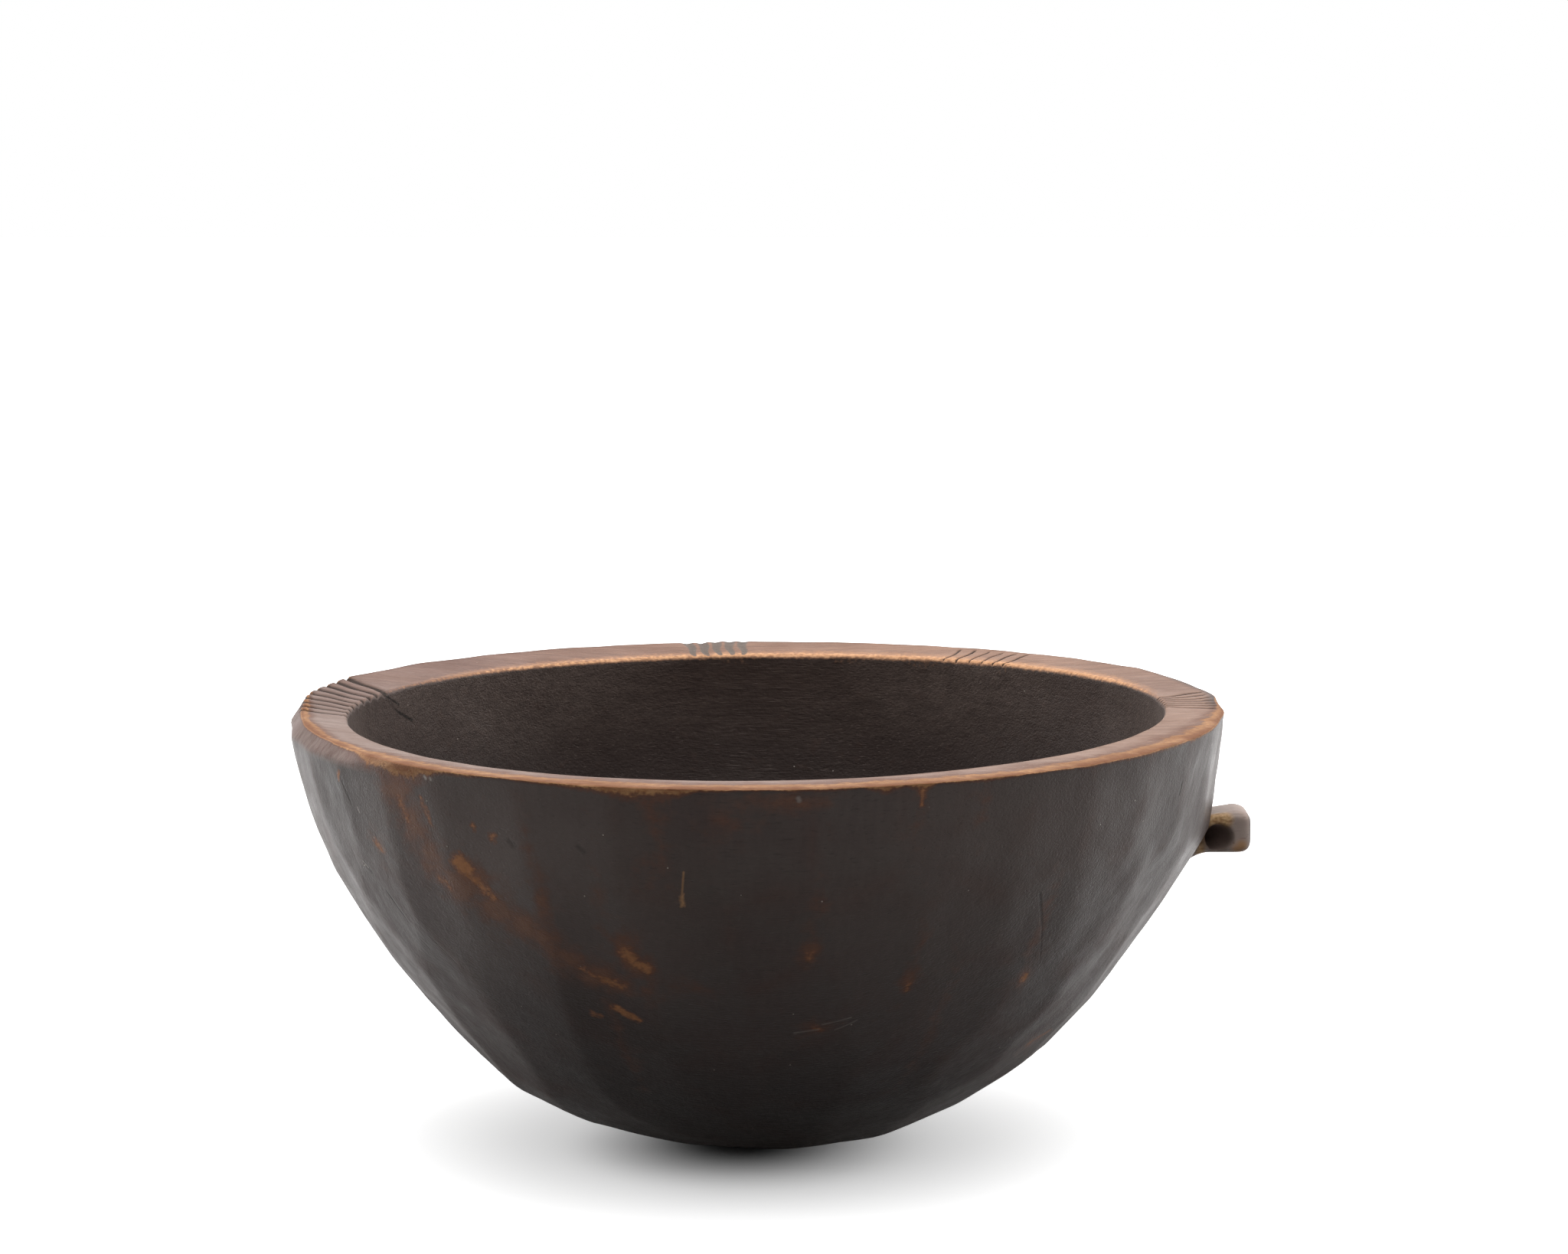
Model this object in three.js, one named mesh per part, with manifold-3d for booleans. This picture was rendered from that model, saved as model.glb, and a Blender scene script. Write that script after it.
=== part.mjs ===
// A hand-carved wooden bowl with a small pierced lug to hang it by.
// The outside is left in flat adze cuts, the hollow is smooth, and the rim carries four groups of knife
// cuts. Millimetres, +Z up, the lug on +X. The origin is under the middle of the rim, on the flat that the
// bowl stands on. Azimuths are degrees round from the front, -Y, towards the lug.
import * as THREE from "three";
import { mergeVertices } from "three/addons/utils/BufferGeometryUtils.js";
import Module from "manifold-3d";

// Outside of the bowl
const RIM_DIAMETER = 150;
const BOWL_HEIGHT = 69.5; // at the middle of the rim
const BASE_DIAMETER = 23; // the flat that the bowl stands on
const BASE_DRIFT = 2.5; // how far that flat lies from under the middle of the rim, towards the lug
const BELLY_POWER = 1.6; // a higher number carries the wall upright for longer under the rim
const FULLNESS = 0.568; // a lower number makes the underside flatter
const CUT_DEPTH = 0.09; // mean depth of an adze cut below the smooth outline; it goes from none to twice this

// Hollow
const RIM_WIDTH = 9.2; // wood left at the rim
const FLOOR_THICKNESS = 9.5; // wood left under the hollow
const HOLLOW_POWER = 2.1;
const HOLLOW_FULLNESS = 0.5;

// Rim
const RIM_SLOPE = 3; // degrees that the top falls towards the hollow
const BACK_DIP = 0.55; // how much lower than that the inner edge lies at the back
const RIM_TILT = 0.2; // degrees that the whole rim rises towards the lug
const RIM_WARP = 0.5; // the rim has risen this far at the lug's end and the opposite one, as the wood dried
const OUTER_EDGE = 0.4; // worn outer edge
const OUTER_EDGE_SHIFT = 0.5; // the outer edge is worn this much more at the front, and less at the back
const INNER_EDGE = 0.7; // worn inner edge
const END_BEVEL_WIDTH = 2.2; // the broad bevel on the end opposite the lug
const END_BEVEL_HEIGHT = 3.2;
const END_BEVEL_AZIMUTH = -78;

// Lug
const LUG_REACH = 7.7; // from the wall behind its middle to its tip
const LUG_HEIGHT = 6.9;
const LUG_BREADTH = 9; // along the wall
const LUG_DROP = 16.4; // from the rim down to its top
const LUG_CORNER = 1.6; // rounding of its tip, seen from the front
const LUG_FLARE = 2.4; // how far its underside sweeps down into the wall
const LUG_EDGE = 0.8; // rounding of its front and back edges
const LUG_CLEARANCE = 0.3; // between the lug and the wall
const LUG_SEAT_LEAN = 21; // degrees from upright of the flat behind the lug
const WALL_SWELL = 2.3; // extra wood left in the wall round the lug
const SWELL_ANGLE = 18; // degrees
const SWELL_HEIGHT = 10;

// Extra wood left low on the side away from the lug
const LOW_SWELL = 2.7;
const LOW_SWELL_AZIMUTH = -62;
const LOW_SWELL_ANGLE = 35; // degrees
const LOW_SWELL_LEVEL = 9;
const LOW_SWELL_HEIGHT = 8;

// Extra wood left under the lug
const UNDER_SWELL = 1.2;
const UNDER_SWELL_AZIMUTH = 82;
const UNDER_SWELL_ANGLE = 32; // degrees
const UNDER_SWELL_LEVEL = 16;
const UNDER_SWELL_HEIGHT = 12;

// Hole through the lug, drilled from both sides
const HOLE_WIDTH = 3.6;
const HOLE_HEIGHT = 4;
const HOLE_NARROWING = 0.55; // its size in the middle of the lug, as a share of its mouth
const HOLE_FROM_TIP = 4.7;
const HOLE_FROM_TOP = 4.1;
const HOLE_SLANT = 32; // degrees that each half runs in towards the wall

// Rows of adze cuts from the rim down. A row is at a share of the bowl's height. It lists the azimuths of the
// cuts that face the front, which differ in breadth, and the rest go evenly round the back.
const CUT_ROWS = [
  {
    at: 0.86,
    count: 32,
    front: [-84, -73, -63, -54, -44.5, -33.5, -22, -10.5, 1.5, 12, 20.5, 29, 38, 48, 58, 68, 78.5, 90],
  },
  {
    at: 0.66,
    count: 27,
    front: [-84, -70, -56, -44, -33.5, -21, -9, 3, 15, 27, 39, 51, 62, 73.5, 106.5],
  },
  {
    at: 0.47,
    count: 25,
    front: [-79, -64, -50, -37, -20, -7, 6, 19, 32, 45, 59, 73, 88],
  },
  { at: 0.3, count: 23, front: [-84, -68, -52, -38, -21, -6, 9, 25, 41, 56, 71, 86] },
  { at: 0.16, count: 17, front: [-75, -54, -36, -15, 6, 28, 50, 72] },
  { at: 0.07, count: 13, front: [-62, -28, 2, 32, 62] },
  { at: 0.02, count: 9, front: [-50, -12, 30, 70] },
  { at: 0.005, count: 7, front: [-70, -20, 35] },
];

// Knife cuts across the rim, of three kinds: the width at the outer and inner end, the depth, and how far
// from the inner edge a cut stops.
const FURROW_WIDTH = 1.4;
const FURROW_INNER_WIDTH = 1;
const FURROW_DEPTH = 0.4;
const LINE_WIDTH = 0.8;
const LINE_DEPTH = 0.3;
const NOTCH_WIDTH = 1.3;
const NOTCH_INNER_WIDTH = 0.7;
const NOTCH_DEPTH = 0.3;
const NOTCH_STOP = 1.8;
const FURROW = { outer: FURROW_WIDTH, inner: FURROW_INNER_WIDTH, depth: FURROW_DEPTH, stop: 0 };
const LINE = { outer: LINE_WIDTH, inner: LINE_WIDTH, depth: LINE_DEPTH, stop: 0 };
const NOTCH = { outer: NOTCH_WIDTH, inner: NOTCH_INNER_WIDTH, depth: NOTCH_DEPTH, stop: NOTCH_STOP };

// Groups of those cuts: the azimuth of the middle, how many, the degrees between them, the degrees that the
// middle one turns from the radius, and how much more each next one turns.
const KNIFE_CUTS = [
  { kind: FURROW, azimuth: -99.5, cuts: 9, pitch: 3, turn: -21, fan: 1.6 },
  { kind: NOTCH, azimuth: 186, cuts: 5, pitch: 1.85, turn: 0, fan: 0 },
  { kind: LINE, azimuth: 145.5, cuts: 6, pitch: 2.1, turn: 4, fan: 0 },
  { kind: LINE, azimuth: 92.2, cuts: 7, pitch: 1.9, turn: 2, fan: 7 },
];

const HOLLOW_SEGMENTS = 80;
const HOLLOW_STEPS = 18;
const CORNER_STEPS = 4;
const HOLE_SIDES = 16;

const RIM_RADIUS = RIM_DIAMETER / 2;
const MOUTH_RADIUS = RIM_RADIUS - RIM_WIDTH;
const LUG_TOP = BOWL_HEIGHT - LUG_DROP;
const LUG_AZIMUTH = 90;
const BEYOND = 4 * (RIM_DIAMETER + BOWL_HEIGHT); // larger than the bowl, for blocks that only cut
const CUT_MARGIN = 1; // how far a cutter runs past what it cuts

const wasm = await Module();
wasm.setup();

const radians = THREE.MathUtils.degToRad;

// A repeatable number from -1 to 1 for a pair of whole numbers.
function scatter(a, b) {
  const wave = Math.sin(a * 12.9898 + b * 78.233) * 43758.5453;
  return 2 * (wave - Math.floor(wave)) - 1;
}

function solidFrom(geometry) {
  const bare = geometry.index ? geometry.toNonIndexed() : geometry.clone();
  for (const name of Object.keys(bare.attributes)) {
    if (name !== "position") bare.deleteAttribute(name);
  }
  const merged = mergeVertices(bare, 1e-4);
  const mesh = new wasm.Mesh({
    numProp: 3,
    vertProperties: merged.attributes.position.array,
    triVerts: new Uint32Array(merged.index.array),
  });
  return new wasm.Manifold(mesh);
}

function geometryFrom(solid) {
  const mesh = solid.getMesh();
  const corners = new Float32Array(mesh.numVert * 3);
  for (let i = 0; i < mesh.numVert; i++) {
    const start = i * mesh.numProp;
    corners.set(mesh.vertProperties.subarray(start, start + 3), i * 3);
  }
  const geometry = new THREE.BufferGeometry();
  geometry.setAttribute("position", new THREE.BufferAttribute(corners, 3));
  geometry.setIndex(new THREE.BufferAttribute(mesh.triVerts, 1));
  const faceted = geometry.toNonIndexed();
  faceted.computeVertexNormals();
  return faceted;
}

// Share of the full radius at a share of the full height, for a bowl-shaped curve.
function bowlCurve(share, belly, fullness) {
  return (1 - (1 - share) ** belly) ** fullness;
}

// Radius of the smooth outline that the adze follows.
function outlineRadius(height) {
  const base = BASE_DIAMETER / 2;
  return base + (RIM_RADIUS - base) * bowlCurve(height / BOWL_HEIGHT, BELLY_POWER, FULLNESS);
}

// How far the outline's middle lies towards the lug at a height: all of the drift at the base, none at the
// rim.
function drift(height) {
  return BASE_DRIFT * (1 - height / BOWL_HEIGHT) ** 12;
}

// Share of a swelling's full depth at an angle and a rise from its middle.
function swelling(turn, rise, breadth, height) {
  const across = (THREE.MathUtils.euclideanModulo(turn + 180, 360) - 180) / breadth;
  const up = rise / height;
  return Math.exp(-across * across - up * up);
}

// Extra wood left in the wall at an azimuth and height.
function swell(azimuth, height) {
  const lugRise = height - lugMiddle();
  const lowRise = height - LOW_SWELL_LEVEL;
  const underRise = height - UNDER_SWELL_LEVEL;
  const byLug = swelling(azimuth - LUG_AZIMUTH, lugRise, SWELL_ANGLE, SWELL_HEIGHT);
  const low = swelling(azimuth - LOW_SWELL_AZIMUTH, lowRise, LOW_SWELL_ANGLE, LOW_SWELL_HEIGHT);
  const under = swelling(azimuth - UNDER_SWELL_AZIMUTH, underRise, UNDER_SWELL_ANGLE, UNDER_SWELL_HEIGHT);
  return WALL_SWELL * byLug + LOW_SWELL * low + UNDER_SWELL * under;
}

// Radius of the wall at an azimuth and height, before the adze cuts.
function wallRadius(azimuth, height) {
  return outlineRadius(height) + swell(azimuth, height);
}

// How far the wall leans out at an azimuth and height, in degrees from upright.
function wallLean(azimuth, height) {
  const step = BOWL_HEIGHT / 1000;
  const rise = wallRadius(azimuth, height + step) - wallRadius(azimuth, height - step);
  return THREE.MathUtils.radToDeg(Math.atan2(rise, 2 * step));
}

// Everything beyond a plane. The plane leans out by lean degrees from upright, faces the azimuth,
// and passes through the point at a radius and height.
function beyondPlane(azimuth, lean, radius, height) {
  const out = new THREE.Vector3(Math.sin(radians(azimuth)), -Math.cos(radians(azimuth)), 0);
  const normal = out.clone().multiplyScalar(Math.cos(radians(lean)));
  normal.z = -Math.sin(radians(lean));
  const turn = new THREE.Quaternion().setFromUnitVectors(new THREE.Vector3(0, 0, 1), normal);
  const block = new THREE.BoxGeometry(BEYOND, BEYOND, BEYOND).translate(0, 0, BEYOND / 2);
  block.applyQuaternion(turn);
  block.translate(out.x * radius, out.y * radius, height);
  return solidFrom(block);
}

// Azimuths of a row of cuts: those that face the front, then the rest spread over what is left of the turn.
function rowAzimuths(row) {
  const first = row.front[0];
  const last = row.front[row.front.length - 1];
  const rest = row.count - row.front.length;
  const step = (360 + first - last) / (rest + 1);
  const azimuths = [...row.front];
  for (let i = 1; i <= rest; i++) {
    azimuths.push(last + step * (i + 0.15 * scatter(i, row.count)));
  }
  return azimuths;
}

function adzeCuts() {
  return CUT_ROWS.flatMap((row, rowNumber) =>
    rowAzimuths(row).map((azimuth, i) => {
      const height = row.at * BOWL_HEIGHT;
      const depth = CUT_DEPTH * (1 + scatter(i, rowNumber + 1));
      const aside = drift(height) * Math.sin(radians(azimuth));
      const radius = wallRadius(azimuth, height) + aside - depth;
      return beyondPlane(azimuth, wallLean(azimuth, height), radius, height);
    }),
  );
}

// Height of the lug's middle.
function lugMiddle() {
  return LUG_TOP - LUG_HEIGHT / 2;
}

// Middle of the flat that the lug grows from.
function lugSeat() {
  const height = lugMiddle();
  return { radius: wallRadius(LUG_AZIMUTH, height), height };
}

// The wall's flat behind the lug, or a plane parallel to it and further out.
function beyondLugSeat(gap) {
  const seat = lugSeat();
  const shift = gap / Math.cos(radians(LUG_SEAT_LEAN));
  return beyondPlane(LUG_AZIMUTH, LUG_SEAT_LEAN, seat.radius + shift, seat.height);
}

// The broad bevel cut off the rim opposite the lug.
function beyondEndBevel() {
  const lean = -THREE.MathUtils.radToDeg(Math.atan2(END_BEVEL_WIDTH, END_BEVEL_HEIGHT));
  return beyondPlane(END_BEVEL_AZIMUTH, lean, RIM_RADIUS - END_BEVEL_WIDTH, BOWL_HEIGHT);
}

// Revolves an outline of [radius, height] pairs about the upright axis.
function turned(pairs) {
  const points = pairs.map(([radius, height]) => new THREE.Vector2(radius, height));
  return new THREE.LatheGeometry(points, HOLLOW_SEGMENTS).rotateX(Math.PI / 2);
}

// Makes a cutter for the rim or the hollow, warped and tilted as the rim is.
function rimCutter(geometry) {
  const points = geometry.attributes.position;
  for (let i = 0; i < points.count; i++) {
    const along = points.getX(i) / RIM_RADIUS;
    const behind = Math.max(points.getY(i), 0) / RIM_RADIUS;
    const inwards = (RIM_RADIUS - Math.hypot(points.getX(i), points.getY(i))) / RIM_WIDTH;
    const dip = BACK_DIP * behind * Math.min(inwards, 1);
    points.setZ(i, points.getZ(i) + RIM_WARP * along * along - dip);
  }
  geometry.translate(0, 0, -BOWL_HEIGHT);
  geometry.rotateY(radians(-RIM_TILT));
  geometry.translate(0, 0, BOWL_HEIGHT);
  return solidFrom(geometry);
}

// Height of the rim's sloping top at a radius.
function rimTop(radius) {
  return BOWL_HEIGHT - (RIM_RADIUS - radius) * Math.tan(radians(RIM_SLOPE));
}

// The hollow, with the slope of the rim's top above it.
function hollow() {
  const lip = rimTop(MOUTH_RADIUS);
  const depth = lip - INNER_EDGE - FLOOR_THICKNESS;
  const far = RIM_RADIUS + RIM_WIDTH;
  const pairs = [[0, FLOOR_THICKNESS]];
  for (let i = 1; i <= HOLLOW_STEPS; i++) {
    const share = (i / HOLLOW_STEPS) ** 2;
    const radius = MOUTH_RADIUS * bowlCurve(share, HOLLOW_POWER, HOLLOW_FULLNESS);
    pairs.push([radius, FLOOR_THICKNESS + depth * share]);
  }
  pairs.push([MOUTH_RADIUS + INNER_EDGE, rimTop(MOUTH_RADIUS + INNER_EDGE)]);
  pairs.push([far, rimTop(far)]);
  pairs.push([far, rimTop(far) + 2 * RIM_WIDTH]);
  pairs.push([0, rimTop(far) + 2 * RIM_WIDTH]);
  return rimCutter(turned(pairs));
}

// A ring that takes off the rim's outer edge.
function outerEdgeRing() {
  const radius = RIM_RADIUS - OUTER_EDGE;
  const far = RIM_WIDTH;
  const ring = turned([
    [radius - CUT_MARGIN, BOWL_HEIGHT + CUT_MARGIN],
    [radius + far, BOWL_HEIGHT - far],
    [radius + far, BOWL_HEIGHT + CUT_MARGIN],
    [radius - CUT_MARGIN, BOWL_HEIGHT + CUT_MARGIN],
  ]);
  return rimCutter(ring.translate(0, OUTER_EDGE_SHIFT, 0));
}

// One knife cut, a long tapering bar of diamond section sunk into the rim's top.
function knifeCut(azimuth, turn, kind) {
  const inner = MOUTH_RADIUS + kind.stop;
  const outer = RIM_RADIUS + CUT_MARGIN;
  const middle = (inner + outer) / 2;
  const length = (outer - inner) / Math.cos(radians(turn));
  const bar = new THREE.CylinderGeometry(kind.outer / 2, kind.inner / 2, length, 4);
  bar.scale(1, 1, (2 * kind.depth) / kind.outer);
  bar.rotateX(radians(RIM_SLOPE));
  bar.rotateZ(radians(azimuth + 180 + turn));
  bar.translate(
    middle * Math.sin(radians(azimuth)),
    -middle * Math.cos(radians(azimuth)),
    rimTop(middle),
  );
  return rimCutter(bar);
}

function knifeCuts() {
  return KNIFE_CUTS.flatMap((group) =>
    Array.from({ length: group.cuts }, (_, i) => {
      const place = i - (group.cuts - 1) / 2;
      return knifeCut(group.azimuth + group.pitch * place, group.turn + group.fan * place, group.kind);
    }),
  );
}

function bowl() {
  const side = RIM_DIAMETER + 2 * RIM_WIDTH;
  const height = BOWL_HEIGHT + RIM_WIDTH;
  const blank = new THREE.BoxGeometry(side, side, height).translate(0, 0, height / 2);
  const cutters = [
    ...adzeCuts(),
    beyondLugSeat(0),
    beyondEndBevel(),
    outerEdgeRing(),
    hollow(),
    ...knifeCuts(),
  ];
  return cutters.reduce((wood, cutter) => wood.subtract(cutter), solidFrom(blank));
}

// The lug's outline seen from the front: [along +X, height].
function lugOutline() {
  const seat = lugSeat();
  const tip = seat.radius + LUG_REACH;
  const root = seat.radius - LUG_REACH;
  const bottom = LUG_TOP - LUG_HEIGHT;
  const flareStart = seat.radius - (LUG_HEIGHT / 2) * Math.tan(radians(LUG_SEAT_LEAN));
  const shape = new THREE.Shape();
  shape.moveTo(root, LUG_TOP);
  shape.lineTo(root, bottom - LUG_FLARE);
  shape.lineTo(flareStart - LUG_FLARE, bottom - LUG_FLARE);
  shape.quadraticCurveTo(flareStart, bottom, flareStart + LUG_FLARE, bottom);
  shape.lineTo(tip - LUG_CORNER, bottom);
  shape.quadraticCurveTo(tip, bottom, tip, bottom + LUG_CORNER);
  shape.lineTo(tip, LUG_TOP - LUG_CORNER);
  shape.quadraticCurveTo(tip, LUG_TOP, tip - LUG_CORNER, LUG_TOP);
  shape.closePath();
  return shape;
}

// Half of the lug's hole: a cone that runs in from the front, side -1, or the back, side 1, to the middle.
function halfHole(side) {
  const length = LUG_BREADTH / 2 + LUG_EDGE + CUT_MARGIN;
  const cone = new THREE.CylinderGeometry(1, HOLE_NARROWING, length, HOLE_SIDES);
  cone.scale(HOLE_WIDTH / 2, 1, HOLE_HEIGHT / 2);
  cone.translate(0, length / 2, 0);
  cone.rotateZ(radians(side < 0 ? 180 + HOLE_SLANT : -HOLE_SLANT));
  const inwards = (LUG_BREADTH / 2) * Math.tan(radians(HOLE_SLANT));
  const tip = lugSeat().radius + LUG_REACH;
  cone.translate(tip - HOLE_FROM_TIP - inwards, -side * LUG_EDGE, LUG_TOP - HOLE_FROM_TOP);
  return solidFrom(cone);
}

function hangingLug() {
  const block = new THREE.ExtrudeGeometry(lugOutline(), {
    depth: LUG_BREADTH - 2 * LUG_EDGE,
    bevelThickness: LUG_EDGE,
    bevelSize: LUG_EDGE,
    bevelOffset: -LUG_EDGE,
    bevelSegments: 2,
    curveSegments: CORNER_STEPS,
  });
  block.translate(0, 0, LUG_EDGE - LUG_BREADTH / 2);
  block.rotateX(Math.PI / 2);
  return solidFrom(block)
    .intersect(beyondLugSeat(LUG_CLEARANCE))
    .subtract(halfHole(-1))
    .subtract(halfHole(1));
}

const wood = new THREE.MeshStandardMaterial({ color: 0x3d3431, roughness: 0.5, metalness: 0 });

function piece(name, solid, material) {
  const mesh = new THREE.Mesh(geometryFrom(solid), material.clone());
  mesh.name = name;
  return mesh;
}

const dish = new THREE.Group();
dish.add(piece("bowl", bowl(), wood));
dish.add(piece("hanging_lug", hangingLug(), wood));

export default dish;
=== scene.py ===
from math import atan2, cos, pi, radians, sin, tan

import bmesh
import bpy
import numpy as np
from mathutils import Matrix


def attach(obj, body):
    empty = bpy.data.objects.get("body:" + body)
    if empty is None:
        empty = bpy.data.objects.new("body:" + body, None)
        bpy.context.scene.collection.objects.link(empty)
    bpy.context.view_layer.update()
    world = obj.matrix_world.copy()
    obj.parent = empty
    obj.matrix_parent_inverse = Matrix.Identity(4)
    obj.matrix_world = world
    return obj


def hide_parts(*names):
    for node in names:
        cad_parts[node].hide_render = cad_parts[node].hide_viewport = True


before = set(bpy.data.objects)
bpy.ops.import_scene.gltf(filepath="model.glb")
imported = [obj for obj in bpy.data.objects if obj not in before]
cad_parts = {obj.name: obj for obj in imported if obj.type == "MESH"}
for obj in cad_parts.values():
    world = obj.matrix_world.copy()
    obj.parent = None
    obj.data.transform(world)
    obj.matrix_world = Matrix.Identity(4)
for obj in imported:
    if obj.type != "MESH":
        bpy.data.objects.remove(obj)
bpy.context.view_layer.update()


# Camera
# A 100 mm lens 0.7 m away, looking 9 degrees down on the middle of the rim, with the lug to the right.
MM = 0.001
PHOTO_WIDTH = 2048
PHOTO_HEIGHT = 1638
FOCAL_PIXELS = 5646
RIM_MIDDLE_PIXEL = (988, 926)
RIM_MIDDLE_HEIGHT = 69.2 * MM
VIEW_ELEVATION = radians(9)
VIEW_DISTANCE = 700 * MM


def new_object(name, data):
    """Puts an object in the scene."""
    thing = bpy.data.objects.new(name, data)
    bpy.context.scene.collection.objects.link(thing)
    return thing


aside = (PHOTO_WIDTH / 2 - RIM_MIDDLE_PIXEL[0]) / FOCAL_PIXELS * VIEW_DISTANCE
below_centre = atan2(RIM_MIDDLE_PIXEL[1] - PHOTO_HEIGHT / 2, FOCAL_PIXELS)
lens = bpy.data.cameras.new("camera")
lens.sensor_width = 36
lens.lens = FOCAL_PIXELS * lens.sensor_width / PHOTO_WIDTH
lens.clip_start = 0.05
camera = new_object("camera", lens)
camera.location = (
    aside,
    -VIEW_DISTANCE * cos(VIEW_ELEVATION),
    RIM_MIDDLE_HEIGHT + VIEW_DISTANCE * sin(VIEW_ELEVATION),
)
camera.rotation_euler = (pi / 2 - VIEW_ELEVATION + below_centre, 0, 0)
bpy.context.scene.camera = camera


# Bowl: the outside
# One block of dark hardwood. The adze leaves shallow, slightly hollow cuts, whose ridges years of handling
# have rounded. Sizes here are in millimetres, and azimuths in degrees round from the front towards the lug.
RIM_RADIUS = 75
BOWL_HEIGHT = 69.5
BASE_RADIUS = 11.5
BASE_DRIFT = 2.5  # how far towards the lug the base lies
BELLY_POWER = 1.6  # how upright the wall stands at the top
FULLNESS = 0.568  # how fast it spreads out from the base
CUT_DEPTH = 0.09
CUT_SCATTER = 0.15  # how far a cut at the back is off an even spacing, as a share of it
CUT_HOLLOW = 0.003  # per mm: how hollow a cut is across
HOLLOW_LEVEL = 20  # square mm: a hollow cut lies level with the wall this far across, squared
CUT_HALF_WIDTH = 12  # no cut is hollow or bent further out than this from its middle
CUT_HALF_HEIGHT = 14
CUT_BEND = 0.6  # how much a cut bends with the wall from top to bottom: none is 0, and all the way is 1
SOFT_RIDGE = 6  # per mm: a higher number leaves a sharper ridge between two cuts
CRISP_RIDGE = 14
TOP_RIDGE = 2  # beside the rim
RIDGE_BREADTH = 0.2  # how far below a ridge its wear fades away
MEETING_CUTS = 6  # no more cuts than this meet at one place
CRISP_ZONES = [  # how crisp, the azimuth and the degrees over which that comes in, and the same for the tilt
    (1, -45, -10, 90, -1),
    (1, 25, 30, -8, -12),
    (0.3, -12, -15, 90, -1),
    (1, -5, -20, -15, -12),
]
WORN_AWAY = 0.17  # how far handling has taken the whole wall below the adze's cuts
LUG_TOP = BOWL_HEIGHT - 16.4
LUG_HEIGHT = 6.9
LUG_MIDDLE = LUG_TOP - LUG_HEIGHT / 2
END_BEVEL_WIDTH = 1.6
END_BEVEL_HEIGHT = 2
END_BEVEL_AZIMUTH = -73  # its middle, round which it fades out
END_BEVEL_REACH = 24  # degrees
SWELLINGS = [  # azimuth, height, depth, half breadth in degrees, half height
    (90, LUG_MIDDLE, 2.3, 18, 10),
    (-62, 9, 2.7, 35, 8),
    (82, 16, 1.2, 32, 12),
]
CUT_ROWS = [  # share of the bowl's height, number of cuts, azimuths of those that face the front
    (0.86, 32, [-84, -73, -63, -54, -44.5, -33.5, -22, -10.5, 1.5, 12, 20.5, 29, 38, 48, 58, 68, 78.5, 90]),
    (0.66, 27, [-84, -70, -56, -44, -33.5, -21, -9, 3, 15, 27, 39, 51, 62, 73.5, 106.5]),
    (0.47, 25, [-79, -64, -50, -37, -20, -7, 6, 19, 32, 45, 59, 73, 88]),
    (0.3, 23, [-84, -68, -52, -38, -21, -6, 9, 25, 41, 56, 71, 86]),
    (0.16, 17, [-75, -54, -36, -15, 6, 28, 50, 72]),
    (0.07, 13, [-62, -28, 2, 32, 62]),
    (0.02, 9, [-50, -12, 30, 70]),
    (0.005, 7, [-70, -20, 35]),
]
EYE = np.array([0, 0, 45])  # the point in the hollow that the wall is measured from
FAR = 1000
GLANCING = 0.05  # a direction that meets a cut at less than this misses it


def scatter(a, b):
    """A repeatable number from -1 to 1 for a pair of whole numbers."""
    wave = sin(a * 12.9898 + b * 78.233) * 43758.5453
    return 2 * (wave % 1) - 1


def fade(value, start, run):
    """0 up to a start, and then rising to 1 over a run. A run below 0 goes the other way."""
    return np.clip((value - start) / run, 0, 1)


def outward(azimuth):
    """The level direction at an azimuth."""
    return np.stack([np.sin(np.radians(azimuth)), -np.cos(np.radians(azimuth))], -1)


def outline_radius(height):
    """Radius of the plain round form that the cuts follow."""
    share = np.clip(height / BOWL_HEIGHT, 0, 1)
    return BASE_RADIUS + (RIM_RADIUS - BASE_RADIUS) * (1 - (1 - share) ** BELLY_POWER) ** FULLNESS


def swell(azimuth, height):
    """Extra wood left in the wall at an azimuth and height."""
    extra = 0
    for middle, level, depth, breadth, rise in SWELLINGS:
        across = ((azimuth - middle + 180) % 360 - 180) / breadth
        up = (height - level) / rise
        extra += depth * np.exp(-across * across - up * up)
    return extra


def wall_radius(azimuth, height):
    """Radius of the outside before the cuts."""
    return outline_radius(height) + swell(azimuth, height)


def wall_lean(azimuth, height):
    """How far the wall leans out, from upright."""
    step = BOWL_HEIGHT / 1000
    return atan2(wall_radius(azimuth, height + step) - wall_radius(azimuth, height - step), 2 * step)


def wall_bend(azimuth, height):
    """How fast the wall curves from top to bottom, per mm."""
    low, high = max(height - 2, 0.5), height + 2
    turn = wall_lean(azimuth, low) - wall_lean(azimuth, high)
    return min(turn * cos(wall_lean(azimuth, height)) / (high - low), 0.02)


def cut_plane(azimuth, lean, radius, height, hollow, bend):
    """A cut through a point: normal, point, along and up the wall, how hollow it is and how bent."""
    x, y = outward(azimuth)
    normal = np.array([x * cos(lean), y * cos(lean), -sin(lean)])
    middle = np.array([x * radius, y * radius, height])
    along = np.array([-y, x, 0])
    up = np.array([x * sin(lean), y * sin(lean), cos(lean)])
    return normal, middle, along, up, hollow, bend


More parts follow.
